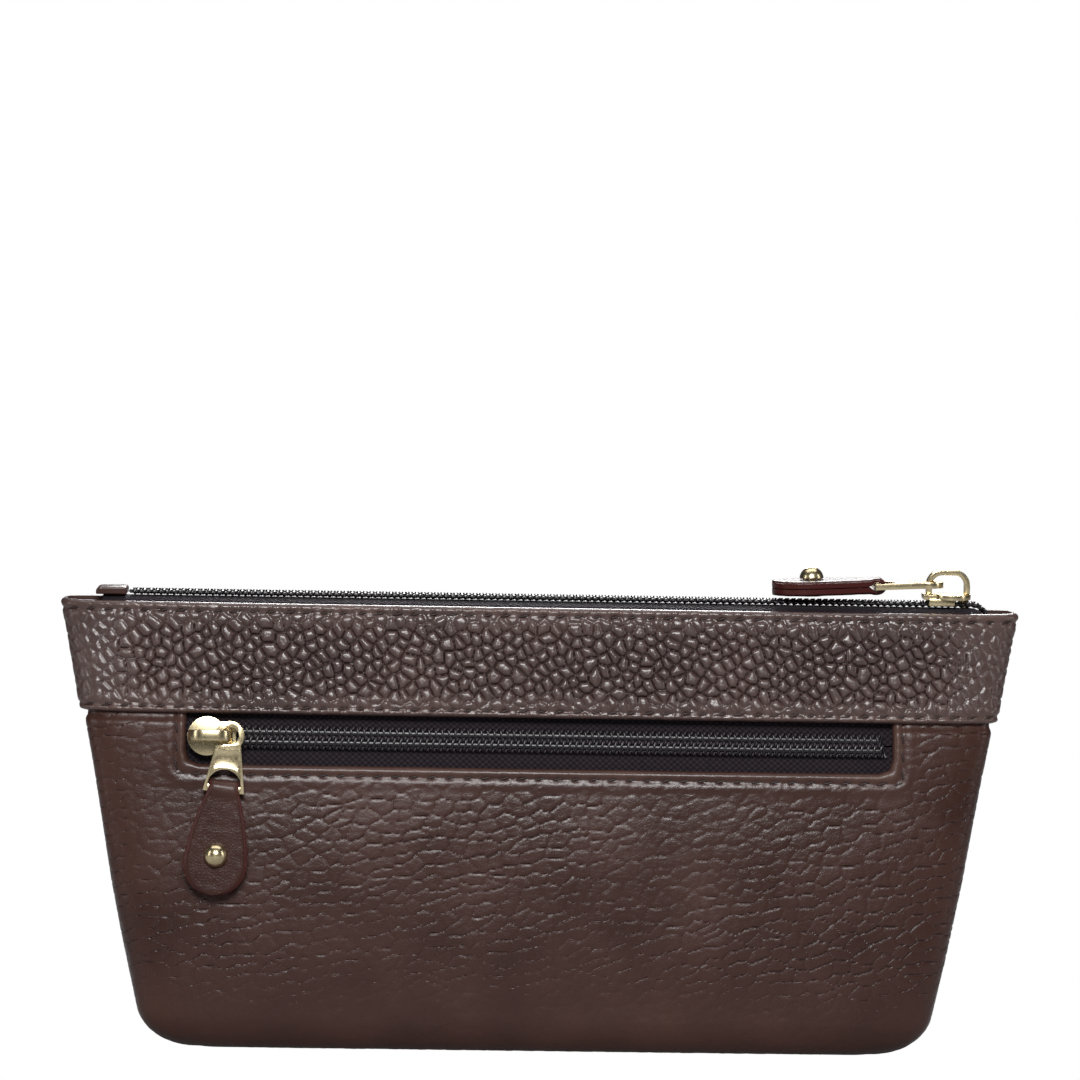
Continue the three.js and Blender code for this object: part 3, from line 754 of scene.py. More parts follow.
def repeated(name, template, matrices):
    source = np.array([vertex.co for vertex in template.data.vertices])
    faces = [list(face.vertices) for face in template.data.polygons]
    points, indexes = [], []
    for count, matrix in enumerate(matrices):
        turn = np.array(matrix)
        points.append(source @ turn[:3, :3].T + turn[:3, 3])
        indexes += [[corner + count * len(source) for corner in face] for face in faces]
    mesh = bpy.data.meshes.new(name)
    mesh.from_pydata(np.concatenate(points).tolist(), [], indexes)
    piece = bpy.data.objects.new(name, mesh)
    bpy.context.scene.collection.objects.link(piece)
    return softened(outward(piece, 1e-9), 60)


# Places along a level row on the wall, evenly spaced: X runs along the row and Z stands out.
def alongWall(side, z, depth, low, high, pitch, lean=0, shift=0.5):
    dense = np.linspace(low, high, 3000)
    line = wallPoint(side, dense, np.full_like(dense, z))
    travel = np.concatenate([[0], np.cumsum(np.linalg.norm(np.diff(line, axis=0), axis=1))])
    middle = np.interp(0, dense, travel) if low < 0 < high else (0 if low >= 0 else travel[-1])
    travel = travel - middle
    first = math.ceil(travel[0] / pitch - shift) + shift
    spots = np.arange(first, travel[-1] / pitch, 1) * pitch
    columns = np.interp(spots, travel, dense)
    point = wallInside(side, columns, np.full_like(columns, z), np.full_like(columns, depth))
    normal = wallNormal(side, columns, np.full_like(columns, z))
    for spot, out in zip(point, normal):
        yield basisAt(Vector(spot) * mm, Vector(out), Vector((0, 0, 1)), lean)


def basisAt(spot, out, up, lean):
    along = up.cross(out).normalized()
    across = out.cross(along)
    matrix = Matrix((along, across, out)).transposed().to_4x4()
    return Matrix.Translation(spot) @ matrix @ Matrix.Rotation(math.radians(lean), 4, "Z")


def stitches():
    template = stitchShape("stitch", stitchPlan["length"], stitchPlan["width"])
    pitch, lean = stitchPlan["pitch"], stitchPlan["lean"]
    rows = [
        (bandPlan["low"] + bandPlan["stitchUp"], -bandPlan["proud"] + 0.22),
        (pouch["height"] - bandPlan["stitchDown"], -bandPlan["proud"] + 0.22),
    ]
    front = []
    for z, depth in rows:
        front += list(alongWall(-1, z, depth, -0.985, 0.985, pitch, lean, 0))
    z = windowPlan["low"] - windowPlan["stitchBelow"]
    beside = windowPlan["halfWidth"] + windowPlan["stitchBeside"]
    reach = beside / halfWidthAt(z)
    front += list(alongWall(-1, z, 0.18, -reach, reach, pitch, lean, 0))
    for sign in (-1, 1):
        for height in np.arange(z + pitch / 2, bandPlan["low"] - 1, pitch):
            column = np.array([sign * beside / halfWidthAt(height)])
            level = np.array([height])
            spot = wallInside(-1, column, level, np.array([0.18]) + panelDepth(height))[0]
            out = wallNormal(-1, column, level)[0]
            front.append(basisAt(Vector(spot) * mm, Vector(out), Vector((0, 0, 1)), 90 + lean))
    piece = repeated("front_stitches", template, front)
    finished(piece, seamThread, "body_leather", "front")
    for sideName, (low, high) in dict(left=(-0.985, 0), right=(0, 0.985)).items():
        back = []
        for z, depth in rows:
            back += list(alongWall(1, z, depth, low, high, pitch, lean, 0 if sideName == "left" else 1))
        piece = repeated(f"back_stitches_{sideName}", template, back)
        finished(piece, seamThread, "body_leather", None)
        onBackWall(piece, sideName)
    bpy.data.objects.remove(template)


frontPanel()
frontBand()
backPanels()
backBands()
stitches()
print("leather walls lofted")


clothPlan = dict(thickness=0.4, wrinkle=0.22, step=3.0)
leafPlan = dict(    # each leaf's half-width as a share of the wall's, and its lower and upper edge
    lining=dict(span=0.9, foot=3.2, top=82.5),
    pocketBack=dict(span=0.8, foot=5.2, top=69.4),
    pocketFront=dict(span=0.8, foot=6.4, top=54.6),
)


# A hanging leaf of cloth between two columns and two heights, at a depth below the wall's surface.
def clothLeaf(name, side, low, high, foot, top, depthAt, seed):
    rows, columns = 4 * round((top - foot) / clothPlan["step"] / 1.4), 4 * round((high - low) * 17)
    share = np.linspace(low, high, columns + 1)[None, :] + np.zeros((rows + 1, 1))
    z = np.linspace(foot, top, rows + 1)[:, None] + np.zeros((1, columns + 1))
    x = share * halfWidthAt(z)
    wave = clothPlan["wrinkle"] * slowNoise(x, z * 0.5, 11, seed)
    depth = depthAt(z) - wave
    outer = wallInside(side, share, z, depth)
    inner = wallInside(side, share, z, depth + clothPlan["thickness"])
    kept = np.ones((rows, columns), bool)
    return shell(name, outer, inner, kept, 1, cloth=np.stack([x, z], -1))


def frontLiningDepth(z):
    return 11 + (4.2 - 11) * smooth(62, 74, z)


def pocketBackDepth(z):
    return 10 + (3.3 - 10) * smooth(62, 70, z)


def backLiningDepth(z):
    return 3.0 + 0 * z


def pocketFrontDepth(z):
    return 2.3 + 0 * z


def linings():
    leaf = leafPlan["lining"]
    span, foot, top = leaf["span"], leaf["foot"], leaf["top"]
    piece = clothLeaf("front_lining_cloth", -1, -span, span, foot, top, frontLiningDepth, 1.5)
    finished(piece, liningCloth, "lining_cloth", "front", "front_lining")
    for sideName, (low, high) in dict(left=(-span, 0), right=(0, span)).items():
        piece = clothLeaf(f"back_lining_{sideName}", 1, low, high, foot, top, backLiningDepth, 2.5)
        finished(piece, liningCloth, "lining_cloth", None, "back_lining")
        onBackWall(piece, sideName)
    for name, leaf, depthAt, seed, replaced, hungFrom in (
        ("pocket_back_cloth", leafPlan["pocketBack"], pocketBackDepth, 3.5, "pocket_bag_back",
         "front_band_leather"),
        ("pocket_front_cloth", leafPlan["pocketFront"], pocketFrontDepth, 4.5, "pocket_bag_front",
         "front_panel_leather"),
    ):
        piece = clothLeaf(name, -1, -leaf["span"], leaf["span"], leaf["foot"], leaf["top"], depthAt, seed)
        finished(piece, liningCloth, "lining_cloth", "front", replaced)


def baseCloth():
    low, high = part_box("base_lining")
    size = high - low
    piece = start(bpy.ops.mesh.primitive_grid_add, "base_lining_cloth", x_subdivisions=64, y_subdivisions=8,
                  size=1, location=(low + high) / 2, scale=(size.x, size.y, 1))
    for vertex in piece.data.vertices:
        vertex.co.z += 0.0001 * noise.noise(vertex.co * 90)
    uv = piece.data.uv_layers[0]
    uv.name = "cloth"
    for loop in piece.data.loops:
        point = piece.data.vertices[loop.vertex_index].co
        uv.data[loop.index].uv = (point.x, point.y)
    applied(piece, "SOLIDIFY", thickness=size.z * 0.6, offset=0)
    softened(outward(piece))
    finished(piece, liningCloth, "lining_cloth", "front", "base_lining")


linings()
baseCloth()


bevelPlan = dict(base_panel=0.45, left_end_tab=0.3)


# The base and the end tab are softened copies of the frame's own pieces.
def bevelledCopy(name, source, bevel):
    piece = copyOf(frame["nodes"][source], name)
    outward(piece, 1e-6)
    pick(piece, "polygons", everything)
    bpy.ops.mesh.dissolve_limited(angle_limit=math.radians(2))
    bpy.ops.object.mode_set(mode="OBJECT")
    bevelled(piece, bevel, segments=4)
    applied(piece, "TRIANGULATE")
    for label, value in (("grain", 0.8), ("hem", 0.35)):
        field = piece.data.attributes.new(label, "FLOAT", "POINT")
        field.data.foreach_set("value", [value] * len(piece.data.vertices))
    return softened(outward(piece))


for source, bevel in bevelPlan.items():
    piece = bevelledCopy(f"{source}_leather", source, bevel)
    finished(piece, bodyLeather, "body_leather", "front", source)
print("linings, base and tab made")


# One side of a chain: a filament wound by the screw, then flattened and laid where place puts it.
def coil(name, low, high, place, shift=0):
    plan = zipPlan
    turns = int((high - low) / plan["pitch"])
    reach = (plan["halfWidth"] + plan["reach"]) / 2
    piece = start(bpy.ops.mesh.primitive_circle_add, name, vertices=6, radius=plan["filament"] * mm,
                  location=(0, reach * mm, 0), rotation=(0, 0, 0))
    applied(piece, "SCREW", axis="X", screw_offset=plan["pitch"] * mm, iterations=turns, steps=14,
            render_steps=14, use_merge_vertices=False)
    pick(piece, "vertices", everything)
    bpy.ops.mesh.fill_holes(sides=8)
    bpy.ops.object.mode_set(mode="OBJECT")
    outward(piece, 1e-8)
    wound = np.array([vertex.co for vertex in piece.data.vertices]) / mm
    squeeze = (plan["thickness"] / 2 - plan["filament"]) / reach
    along = wound[:, 0] + low + shift
    across = wound[:, 1] + reach - plan["reach"]
    lift = wound[:, 2] * squeeze + plan["thickness"] / 2
    radial = np.maximum(np.hypot(wound[:, 1], wound[:, 2]), 0.01)
    lift = lift + (radial - reach) * (1 - squeeze) * wound[:, 2] / radial
    spots = place(along, across, lift) * mm
    piece.data.vertices.foreach_set("co", spots.reshape(-1).astype(np.float32))
    piece.data.update()
    cord = coilCord(low + shift, high + shift - plan["pitch"], place)
    return softened(joined(name, [piece, cord]), 60)


# The cord that a coil is wound on: an oval tube along the middle of its turns.
def coilCord(low, high, place):
    cord = start(bpy.ops.mesh.primitive_cylinder_add, "coil_cord", vertices=10, radius=1, depth=1,
                 end_fill_type="NGON")
    pick(cord, "vertices", everything)
    levels = np.linspace(-0.5, 0.5, round((high - low) / 3) + 1)[1:-1]
    for level in [0, *levels]:
        bpy.ops.mesh.select_all(action="SELECT")
        bpy.ops.mesh.bisect(plane_co=(0, 0, level), plane_no=(0, 0, 1))
    bpy.ops.object.mode_set(mode="OBJECT")
    shape = np.array([vertex.co for vertex in cord.data.vertices])
    along = low + (shape[:, 2] + 0.5) * (high - low)
    across = zipPlan["halfWidth"] / 2 - 0.05 + shape[:, 0] * (zipPlan["halfWidth"] / 2 - 0.45)
    lift = zipPlan["thickness"] / 2 + shape[:, 1] * (zipPlan["thickness"] / 2 - 0.32)
    cord.data.vertices.foreach_set("co", (place(along, across, lift) * mm).reshape(-1).astype(np.float32))
    cord.data.update()
    return outward(cord, 1e-9)


# How far the mouth's chain drops between the walls at its right end.
def dive(x):
    return zipPlan["dive"] * smooth(zipPlan["diveFrom"], zipPlan["diveTo"], x)


def onPocket(direction):
    def place(along, across, lift):
        z = zipPlan["pocketHeight"] + direction * across
        return wallInside(-1, along / halfWidthAt(z), z, zipPlan["tapeDepth"] - 0.1 - lift)
    return place


def onTop(side):
    def place(along, across, lift):
        return np.stack([along, side * across, zipPlan["topHeight"] + 0.1 + lift - dive(along)], -1)
    return place


# Sewing thread over the outer edge of each turn, one dash for each.
def hooks(name, low, high, place, shift):
    template = stitchShape("hook", 0.85, 0.34)
    matrices = []
    for count in range(int((high - low) / zipPlan["pitch"])):
        x = low + shift + zipPlan["pitch"] * (count + 0.5)
        for across, lift, turn in ((zipPlan["halfWidth"] - 0.15, 1.05, 62), (0.12, 1.22, 80)):
            spot = place(np.array([x]), np.array([across]), np.array([lift]))[0]
            out = place(np.array([x]), np.array([across]), np.array([lift + 0.2]))[0] - spot
            ahead = place(np.array([x]), np.array([across + 0.2]), np.array([lift]))[0] - spot
            facing = (Vector(out).normalized(), Vector(ahead).normalized())
            matrices.append(basisAt(Vector(spot) * mm, *facing, turn))
    piece = repeated(name, template, matrices)
    bpy.data.objects.remove(template)
    return piece


def ribbon(name, along, section, uvAcross):
    # section gives the outer and inner points across the tape at each station along it
    outer, inner = section(along, False), section(along, True)
    kept = np.ones((outer.shape[0] - 1, outer.shape[1] - 1), bool)
    u = np.repeat(along[None, :], outer.shape[0], 0)
    v = np.repeat(np.asarray(uvAcross)[:, None], outer.shape[1], 1)
    return shell(name, outer, inner, kept, 1, cloth=np.stack([u, v], -1))


def pocketZip():
    span = zipPlan["pocketSpan"] * halfWidthAt(zipPlan["pocketHeight"])
    for direction, name, far in ((1, "upper", 68.2), (-1, "lower", 55.2)):
        near = zipPlan["pocketHeight"] + direction * 0.15
        levels = np.linspace(near, far, 9)
        columns = np.linspace(-0.82, 0.82, 91)
        shares, z = np.meshgrid(columns, levels)
        drop = zipPlan["tapeDepth"]
        outer = wallInside(-1, shares, z, drop + 0 * z)
        inner = wallInside(-1, shares, z, drop + zipPlan["tapeThickness"] + 0 * z)
        tape = shell(f"pocket_tape_{name}_cloth", outer, inner, np.ones((8, 90), bool), 1,
                     cloth=np.stack([shares * halfWidthAt(z), z], -1))
        finished(tape, tapeCloth, "zip_tape", "front", f"pocket_tape_{name}")
        shift = 0 if direction > 0 else zipPlan["pitch"] / 2
        piece = coil(f"pocket_coil_{name}_nylon", -span, span, onPocket(direction), shift)
        finished(piece, coilNylon, "zip_coil", "front", f"pocket_coil_{name}")
        dashes = hooks(f"pocket_{name}_thread", -span, span, onPocket(direction), shift)
        finished(dashes, hookThread, "zip_coil", "front")


def topSection(side):
    def share(x):
        return np.minimum(0.985, np.abs(x) / halfWidthAt(pouch["height"]))

    def section(along, inner):
        level = np.full_like(along, pouch["height"])
        depth = np.full_like(along, bandPlan["inner"] + 0.3 + 0.35)
        edge = np.abs(wallInside(side, share(along), level, depth)[:, 1])
        reach = np.maximum(edge - 0.1 * dive(along), 2.6)
        z = zipPlan["topHeight"] - zipPlan["tapeThickness"] - dive(along)
        t = zipPlan["tapeThickness"]
        shift = t if inner else 0
        rows = [
            (0 * along + 0.15, z + t - shift),
            (reach * 0.5, z + t - shift - 0.12),
            (reach - 1.1, z + t - shift - 0.5),
            (reach - shift - 0.3, z - 0.6 - shift * 0.4),
            (reach - shift, z - 1.4 - shift * 0.4),
            (reach - shift, z - 7 + dive(along)),
        ]
        return np.array([np.stack([along, side * y, height], -1) for y, height in rows])
    return section


def topZip():
    acrossTape = (0, 2.6, 4, 5.2, 6.4, 12)
    runs = dict(front=[("", -88, 92.8)], back=[("_left", -88, 0), ("_right", 0, 92.8)])
    firstTurn = -82.6
    middleTurn = firstTurn + 64 * zipPlan["pitch"]
    for sideName, side in (("front", -1), ("back", 1)):
        for half, low, high in runs[sideName]:
            along = np.linspace(low, high, int((high - low) * 1.2))
            tape = ribbon(f"top_tape_{sideName}{half}_cloth", along, topSection(side), acrossTape)
            shift = 0 if side < 0 else zipPlan["pitch"] / 2
            begin = middleTurn if half == "_right" else firstTurn
            end = middleTurn + 0.01 if half == "_left" else high - 0.8
            chain = coil(f"top_coil_{sideName}{half}_nylon", begin, end, onTop(side), shift)
            dashes = hooks(f"top_{sideName}{half}_thread", begin, end, onTop(side), shift)
            for piece, material, slot, nodes in (
                (tape, tapeCloth, "zip_tape", [f"top_tape_{sideName}"]),
                (chain, coilNylon, "zip_coil", [f"top_coil_{sideName}"]),
                (dashes, mouthThread, "zip_coil", []),
            ):
                finished(piece, material, slot, None if half else "front", *nodes)
                if half:
                    onBackWall(piece, half[1:])


pocketZip()
topZip()
print("zips wound")


slider = dict(
    thickness=1.0, headRadius=3.9, neckHalfWidth=2.35, narrowEnd=-4.9, wideEnd=4.8, foot=1.75, lowerFoot=-2.0,
    legs=(-3.7, 4.0), strapWidth=2.2, strapThickness=1.1, strapTop=4.45, strapBevel=0.2, bend=2.6,
    bevel=0.22,
)
pull = dict(
    ringHole=1.8, ringOuter=2.9, thickness=1.2, barAt=10.55, barHeight=1.3, farHalfWidth=4.2,
    slotHalfWidth=3.3, slotReach=3.2, recess=0.2, bevel=0.12,
)
puller = dict(
    length=21.2, neck=2.95, widest=6.3, thickness=3.0, fold=1.75, leaf=1.4, foldLeaf=0.78, rivetAt=13.2,
    rivetRadius=2.45, rivetHeight=2.5,
)
ringPlane = slider["foot"] + slider["thickness"] + slider["strapTop"] - slider["bend"]


# A disc whose far vertices are drawn out into a neck.
def drawnDisc(name, middle, radius, cutoff, end, spread):
    piece = start(bpy.ops.mesh.primitive_circle_add, name, vertices=64, radius=radius * mm, fill_type="NGON",
                  location=(middle * mm, 0, 0))
    pick(piece, "vertices", lambda vertex: vertex.co.x < cutoff * mm)
    bpy.ops.mesh.extrude_edges_move(TRANSFORM_OT_translate={"value": (-1 * mm, 0, 0)})
    bpy.ops.transform.resize(value=(0, spread, 1), center_override=(0, 0, 0))
    bpy.ops.transform.translate(value=(end * mm, 0, 0))
    bpy.ops.object.mode_set(mode="OBJECT")
    return piece


def plate(name, foot):
    s = slider
    middle = s["wideEnd"] - s["headRadius"]
    cutoff = middle - math.sqrt(s["headRadius"] ** 2 - s["neckHalfWidth"] ** 2) + 0.05
    piece = drawnDisc(name, middle, s["headRadius"], cutoff, s["narrowEnd"], 1)
    applied(piece, "SOLIDIFY", thickness=s["thickness"] * mm, offset=0)
    placed(piece, Matrix.Translation((0, 0, (foot + s["thickness"] / 2) * mm)))
    outward(piece, 1e-6)
    bevelled(piece, s["bevel"], segments=3)
    return piece


def block(name, size, middle, bevel=0.1):
    piece = start(bpy.ops.mesh.primitive_cube_add, name, size=mm, scale=size, location=Vector(middle) * mm)
    bevelled(piece, bevel)
    return piece


def sliderBody():
    s = slider
    pieces = [plate("slider_body", s["foot"]), plate("lower_plate", s["lowerFoot"])]
    tall = s["foot"] - s["lowerFoot"]
    pieces.append(block("post", (1.6, 0.24, tall), (3.6, 0, s["lowerFoot"] + 0.5 + tall / 2), 0.08))
    for side in (-1, 1):
        pieces.append(block("flange", (5.2, 0.5, 1.5), (-1.3, side * 2.7, s["foot"] - 0.55)))
    return softened(outward(joined("slider_body", pieces), 1e-9), 40)


# The strap: a small flat face drawn up, round the first bend, along, and down again.
def sliderBridge():
    s = slider
    narrow, wide = s["legs"]
    foot = s["foot"] + s["thickness"] + 0.02
    top = s["foot"] + s["thickness"] + s["strapTop"]
    piece = start(bpy.ops.mesh.primitive_plane_add, "slider_bridge", size=mm,
                  scale=(s["strapThickness"], s["strapWidth"], 1), location=(narrow * mm, 0, foot * mm))
    pick(piece, "polygons", everything)

    bend = -math.pi / 2    # the strap turns towards the wide end

    def drawn(x, z):
        bpy.ops.mesh.extrude_region_move(TRANSFORM_OT_translate={"value": (x * mm, 0, z * mm)})

    def turned(x):
        centre = (x * mm, 0, (top - s["bend"]) * mm)
        bpy.ops.mesh.spin(steps=10, angle=bend, axis=(0, 1, 0), center=centre)

    drawn(0, top - s["bend"] - foot)
    turned(narrow + s["bend"])
    drawn(wide - narrow - 2 * s["bend"], 0)
    turned(wide - s["bend"])
    drawn(0, -(top - s["bend"] - foot))
    bpy.ops.object.mode_set(mode="OBJECT")
    outward(piece)
    bevelled(piece, s["strapBevel"], segments=3, angle=60)
    return softened(piece)


# The pull: a ring drawn out into a tab, with a window over its bar and raised rims down its sides.
def pullTab():
    p = pull
    far = -p["barAt"] - p["barHeight"] / 2
    leave = p["ringOuter"] * math.cos(math.pi * 0.68)
    reach = p["ringOuter"] * math.sin(math.pi * 0.68)
    piece = drawnDisc("pull_tab", 0, p["ringOuter"], leave, far, p["farHalfWidth"] / reach)
    applied(piece, "SOLIDIFY", thickness=p["thickness"] * mm, offset=0)
    outward(piece, 1e-6)
    hole = start(bpy.ops.mesh.primitive_cylinder_add, "hole", vertices=48, radius=p["ringHole"] * mm,
                 depth=4 * mm)
    cut(piece, hole)
    foot = -p["barAt"] + p["barHeight"] / 2
    window = start(bpy.ops.mesh.primitive_cylinder_add, "window", vertices=64, radius=mm, depth=4 * mm,
                   location=(foot * mm, 0, 0), scale=(p["slotReach"], p["slotHalfWidth"], 1))
    pick(window, "vertices", everything)
    bpy.ops.mesh.bisect(plane_co=(foot * mm, 0, 0), plane_no=(1, 0, 0), use_fill=True, clear_inner=True)
    bpy.ops.object.mode_set(mode="OBJECT")
    cut(piece, outward(window, 1e-7))
    recess = start(bpy.ops.mesh.primitive_cube_add, "recess", size=mm, scale=(3.2, 3.9, 1),
                   location=(-4.6 * mm, 0, (p["thickness"] / 2 + 0.5 - p["recess"]) * mm))
    pick(recess, "vertices", lambda vertex: vertex.co.x < -5 * mm)
    bpy.ops.transform.resize(value=(1, 1.22, 1), center_override=(0, 0, 0))
    bpy.ops.object.mode_set(mode="OBJECT")
    cut(piece, recess)
    bevelled(piece, p["bevel"])
    return softened(piece)


# The puller's leather: one strap over the bar, both leaves shaped to the same round-ended outline.
def pullerStrap():
    p = puller
    endMiddle = p["widest"] - p["length"]
    tips = endMiddle - p["widest"] * np.cos(np.linspace(0.06, math.pi / 2, 21))
    leaf = np.concatenate([tips, np.linspace(endMiddle, 0, 33)[1:]])
    turn = np.linspace(math.pi / 2, -math.pi / 2, 17)[1:-1]

    def halfWidth(x):
        share = np.clip(-x / -endMiddle, 0, 1)
        tapered = p["neck"] + (p["widest"] - p["neck"]) * (1 - (1 - share) ** 1.6)
        rounded = np.sqrt(np.maximum(p["widest"] ** 2 - (x - endMiddle) ** 2, 0.04))
        return np.where(x < endMiddle, rounded, tapered)

    def path(grow):
        # the strap's middle line in side view, grow outwards from its inner face
        height = p["thickness"] / 2 + (p["fold"] - p["thickness"] / 2) * smooth(-1.7, -0.6, leaf)
        thick = p["leaf"] + (p["foldLeaf"] - p["leaf"]) * smooth(-1.7, -0.6, leaf)
        level = height - thick * (1 - grow)
        radius = p["fold"] - p["foldLeaf"] * (1 - grow)
        x = np.concatenate([leaf, radius * np.cos(turn), leaf[::-1]])
        z = np.concatenate([level, radius * np.sin(turn), -level[::-1]])
        return x, z

    across = np.sin(np.linspace(-math.pi / 2, math.pi / 2, 37))
    widths = np.concatenate([halfWidth(leaf), np.full(len(turn), p["neck"]), halfWidth(leaf)[::-1]])
    x, z = path(1)
    count = len(x) // 4 * 4 + 1
    keepRows = np.round(np.linspace(0, len(x) - 1, count)).astype(int)
    x, z, widths = x[keepRows], z[keepRows], widths[keepRows]
    wrinkles = slowNoise(x[:, None] + 0 * across, widths[:, None] * across, 1.6, 4) * 0.05
    rimAway = (1 - np.abs(across))[None, :] * widths[:, None]
    drop = 0.45 * np.exp(-(rimAway / 0.5) ** 2) - wrinkles
    sign = np.where(z >= 0, 1, -1)[:, None]
    outer = np.stack([x[:, None] + 0 * across, widths[:, None] * across, z[:, None] - sign * drop], -1)
    xi, zi = path(0)
    xi, zi = xi[keepRows], zi[keepRows]
    inner = np.stack([xi[:, None] + 0 * across, widths[:, None] * across, zi[:, None] + 0 * across], -1)
    edge = np.exp(-(rimAway / 0.5) ** 2)
    # painted highlight: the leather is painted paler round the fold, through the hem field
    foldLight = np.exp(-((x - 0.8) / 1.6) ** 2)[:, None] + 0 * across
    kept = np.ones((outer.shape[0] - 1, outer.shape[1] - 1), bool)
    values = dict(grain=0.85 + wrinkles * 2, hem=np.clip(foldLight, 0, 1), edge=edge)
    piece = shell("puller_strap", outer, inner, kept, 1, values=values)
    field = piece.data.attributes["edge"]
    for place in range(outer.shape[0] * outer.shape[1], len(piece.data.vertices)):
        field.data[place].value = 1
    return placed(piece, Matrix.Translation((-pull["barAt"] * mm, 0, 0)))


def rivetDome():
    p = puller
    seat = p["thickness"] / 2 + 0.1
    piece = start(bpy.ops.mesh.primitive_uv_sphere_add, "rivet_cap", segments=48, ring_count=24, radius=mm,
                  scale=(p["rivetRadius"], p["rivetRadius"], p["rivetHeight"]))
    pick(piece, "vertices", everything)
    bpy.ops.mesh.bisect(plane_co=(0, 0, 0.12 * mm), plane_no=(0, 0, 1), use_fill=True, clear_inner=True)
    bpy.ops.object.mode_set(mode="OBJECT")
    outward(piece, 1e-7)
    bevelled(piece, 0.12, angle=50)
    shaft = start(bpy.ops.mesh.primitive_cylinder_add, "shaft", vertices=24, radius=0.8 * mm,
                  depth=(seat + 1.4) * mm, location=(0, 0, -(seat + 1.4) / 2 * mm + 0.2 * mm))
    piece = joined("rivet_cap", [piece, shaft])
    placed(piece, Matrix.Translation(((-pull["barAt"] - p["rivetAt"]) * mm, 0, seat * mm)))
    return softened(piece, 40)


def rivetFoot():
    p = puller
    seat = p["thickness"] / 2 + 0.1
    piece = start(bpy.ops.mesh.primitive_cylinder_add, "rivet_back", vertices=48, radius=2.2 * mm,
                  depth=0.25 * mm)
    pick(piece, "polygons", lambda face: face.normal.z < -0.9)
    bpy.ops.mesh.inset(thickness=0.5 * mm)
    bpy.ops.mesh.inset(thickness=0.4 * mm, depth=-0.08 * mm)
    bpy.ops.object.mode_set(mode="OBJECT")
    bevelled(piece, 0.08)
    placed(piece, Matrix.Translation(((-pull["barAt"] - p["rivetAt"]) * mm, 0, -(seat + 0.125) * mm)))
    return softened(piece, 40)


def basis(x, y, z, place):
    return Matrix.Translation(place) @ Matrix((x, y, z)).transposed().to_4x4()


# Both sliders are set by the axes and places of their own joints.
def sliders():
    swing = joints["pocket_pull_swing"]
    lift = joints["pocket_puller_lift"]
    out = Vector(swing["axis"]).normalized()
    left = Vector((-1, 0, 0))
    lean = Vector(lift["axis"]).normalized()
    ringUp = Vector((0, 0, ringPlane * mm))
    legAcross = Vector((slider["legs"][0] * mm, 0, 0))
    pocketFrame = basis(left, out.cross(left), out, (0, 0, 0))
    ringAt = Vector(swing["pos_m"])
    toRing = pocketFrame.to_3x3() @ (legAcross + ringUp)
    pocketSlider = Matrix.Translation(ringAt - toRing) @ pocketFrame
    pocketPull = basis(lean.cross(out), lean, out, ringAt)
    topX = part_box("top_slider_body")[0].x - slider["narrowEnd"] * mm
    topBase = Vector((topX, 0, zipPlan["topHeight"] * mm))
    topSlider = Matrix.Translation(topBase)
    ringMiddle = topBase + legAcross + ringUp
    away = (ringMiddle - Vector(joints["top_puller_flex"]["pos_m"])).normalized()
    topPull = basis(away, Vector((0, 1, 0)), away.cross(Vector((0, 1, 0))), ringMiddle)
    parts = (
        ("slider_body", "slider", sliderBody()),
        ("slider_bridge", "slider", sliderBridge()),
        ("pull_tab", "pull", pullTab()),
        ("puller_leather", "puller", pullerStrap()),
        ("puller_rivet_cap", "puller", rivetDome()),
        ("puller_rivet_back", "puller", rivetFoot()),
    )
    for zipName, sliderAt, pullAt in (("pocket", pocketSlider, pocketPull), ("top", topSlider, topPull)):
        for part, body, source in parts:
            piece = placed(copyOf(source, f"{zipName}_{part}_fine"), sliderAt if body == "slider" else pullAt)
            material, slot = paleGold, "zip_metal"
            if part == "puller_leather":
                material, slot = pullerLeather, "puller_leather"
            finished(piece, material, slot, f"{zipName}_{body}", f"{zipName}_{part}")
    for part, body, source in parts:
        bpy.data.objects.remove(source)


sliders()
print("sliders, pulls and pullers made")


view = dict(distance=0.9, elevation=4.0, azimuth=-2.0, roll=1.1, lens=151, aim=(-0.0009, -0.012, 0.1025))


def camera():
    aim = Vector(view["aim"])
    up = math.radians(view["elevation"])
    side = math.radians(view["azimuth"])
    away = Vector((math.sin(side) * math.cos(up), -math.cos(side) * math.cos(up), math.sin(up)))
    lens = bpy.data.cameras.new("camera")
    lens.lens = view["lens"]
    lens.clip_start = 0.01
    eye = bpy.data.objects.new("camera", lens)
    bpy.context.scene.collection.objects.link(eye)
    turn = (-away).to_track_quat("-Z", "Y").to_matrix().to_4x4()
    roll = Matrix.Rotation(math.radians(view["roll"]), 4, "Z")
    eye.matrix_world = Matrix.Translation(aim + away * view["distance"]) @ turn @ roll
    bpy.context.scene.camera = eye


lampPlan = dict(
    key=dict(place=(-0.03, -0.95, 0.66), size=(0.4, 0.3), power=10.5),
    overhead=dict(place=(0, 0.1, 0.9), size=(1.0, 0.5), power=3.0),
    left=dict(place=(-0.9, -0.4, 0.35), size=(0.2, 0.6), power=1.2),
    right=dict(place=(0.9, -0.3, 0.35), size=(0.2, 0.6), power=1.2),
    behind=dict(place=(0.1, 0.95, 0.6), size=(0.5, 0.35), power=9),
)


roomPlan = dict(light=(0.8, 0.82, 0.86), strength=0.05, floor=0.34)


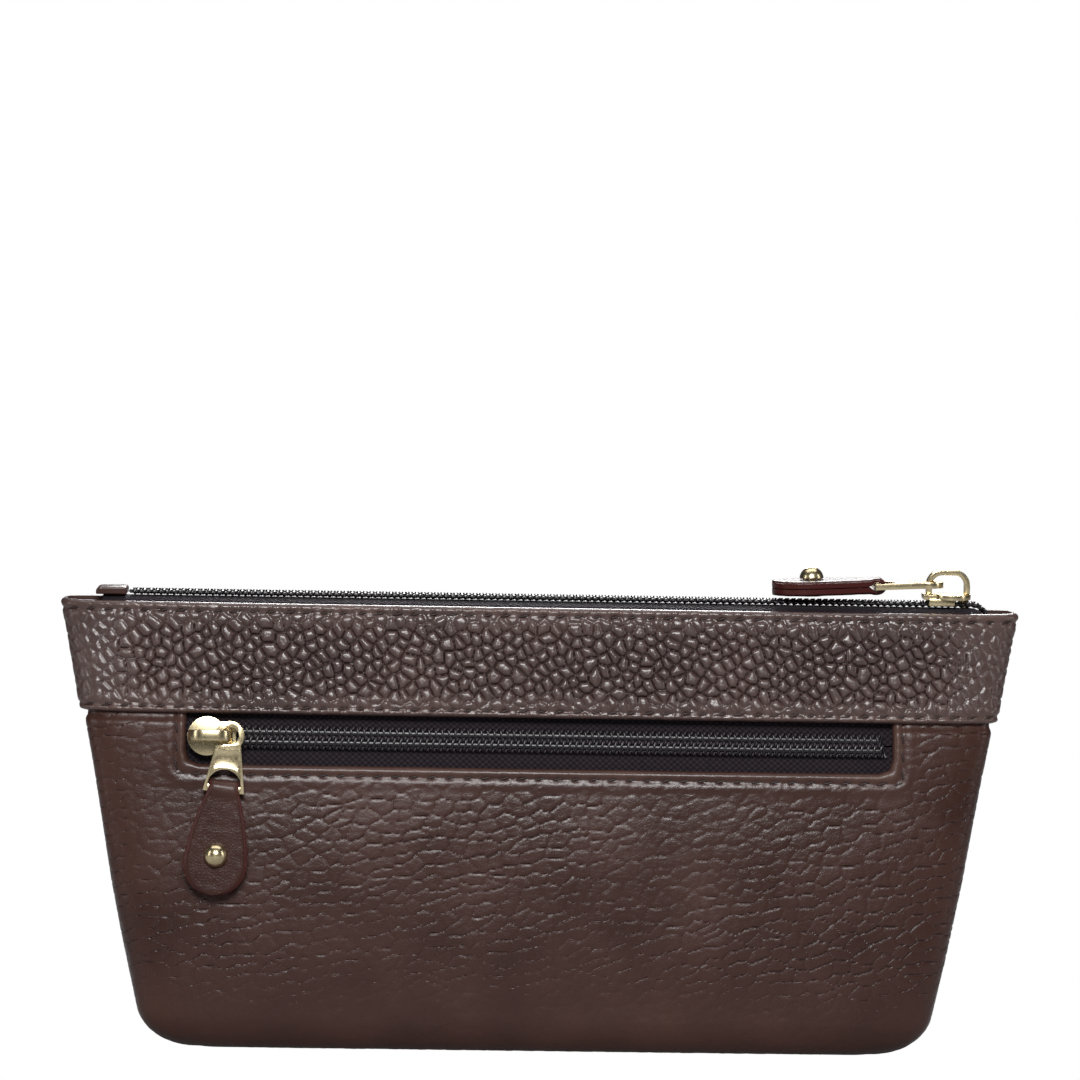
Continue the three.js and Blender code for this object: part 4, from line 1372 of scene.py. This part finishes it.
def softbox(name, place, aim, size, power):
    lamp = bpy.data.lights.new(name, "AREA")
    lamp.shape = "RECTANGLE"
    lamp.size, lamp.size_y = size
    lamp.energy = power
    box = bpy.data.objects.new(name, lamp)
    bpy.context.scene.collection.objects.link(box)
    box.location = place
    box.rotation_euler = (Vector(aim) - Vector(place)).to_track_quat("-Z", "Y").to_euler()


def studio():
    for name, lamp in lampPlan.items():
        softbox(name, lamp["place"], (0, 0, 0.05), lamp["size"], lamp["power"])
    world = bpy.data.worlds.new("studio")
    bpy.context.scene.world = world
    world.use_nodes = True
    tree = world.node_tree
    light = tree.nodes["Background"]
    light.inputs["Color"].default_value = (*roomPlan["light"], 1)
    light.inputs["Strength"].default_value = roomPlan["strength"]
    white = node(tree, "ShaderNodeBackground", {"Color": (1, 1, 1, 1), "Strength": 1.0})
    path = node(tree, "ShaderNodeLightPath")
    blend = node(tree, "ShaderNodeMixShader")
    tree.links.new(path.outputs["Is Camera Ray"], blend.inputs[0])
    tree.links.new(light.outputs[0], blend.inputs[1])
    tree.links.new(white.outputs[0], blend.inputs[2])
    tree.links.new(blend.outputs[0], tree.nodes["World Output"].inputs["Surface"])
    floor = start(bpy.ops.mesh.primitive_plane_add, "floor", size=60,
                  location=(0, 0, cadBounds[0].z - 0.0002))
    material, floorTree, surface = shader("floor", 0.7)
    grey = roomPlan["floor"]
    surface.inputs["Base Color"].default_value = (grey, grey, grey, 1)
    glow = node(floorTree, "ShaderNodeEmission", {"Color": (1, 1, 1, 1), "Strength": 1.0})
    seen = node(floorTree, "ShaderNodeLightPath")
    paper = node(floorTree, "ShaderNodeMixShader")
    floorTree.links.new(seen.outputs["Is Camera Ray"], paper.inputs[0])
    floorTree.links.new(surface.outputs[0], paper.inputs[1])
    floorTree.links.new(glow.outputs[0], paper.inputs[2])
    floorTree.links.new(paper.outputs[0], floorTree.nodes["Material Output"].inputs["Surface"])
    floor.data.materials.append(material)
    bpy.context.scene.view_settings.view_transform = "Standard"


camera()
studio()
print("camera and lights set")
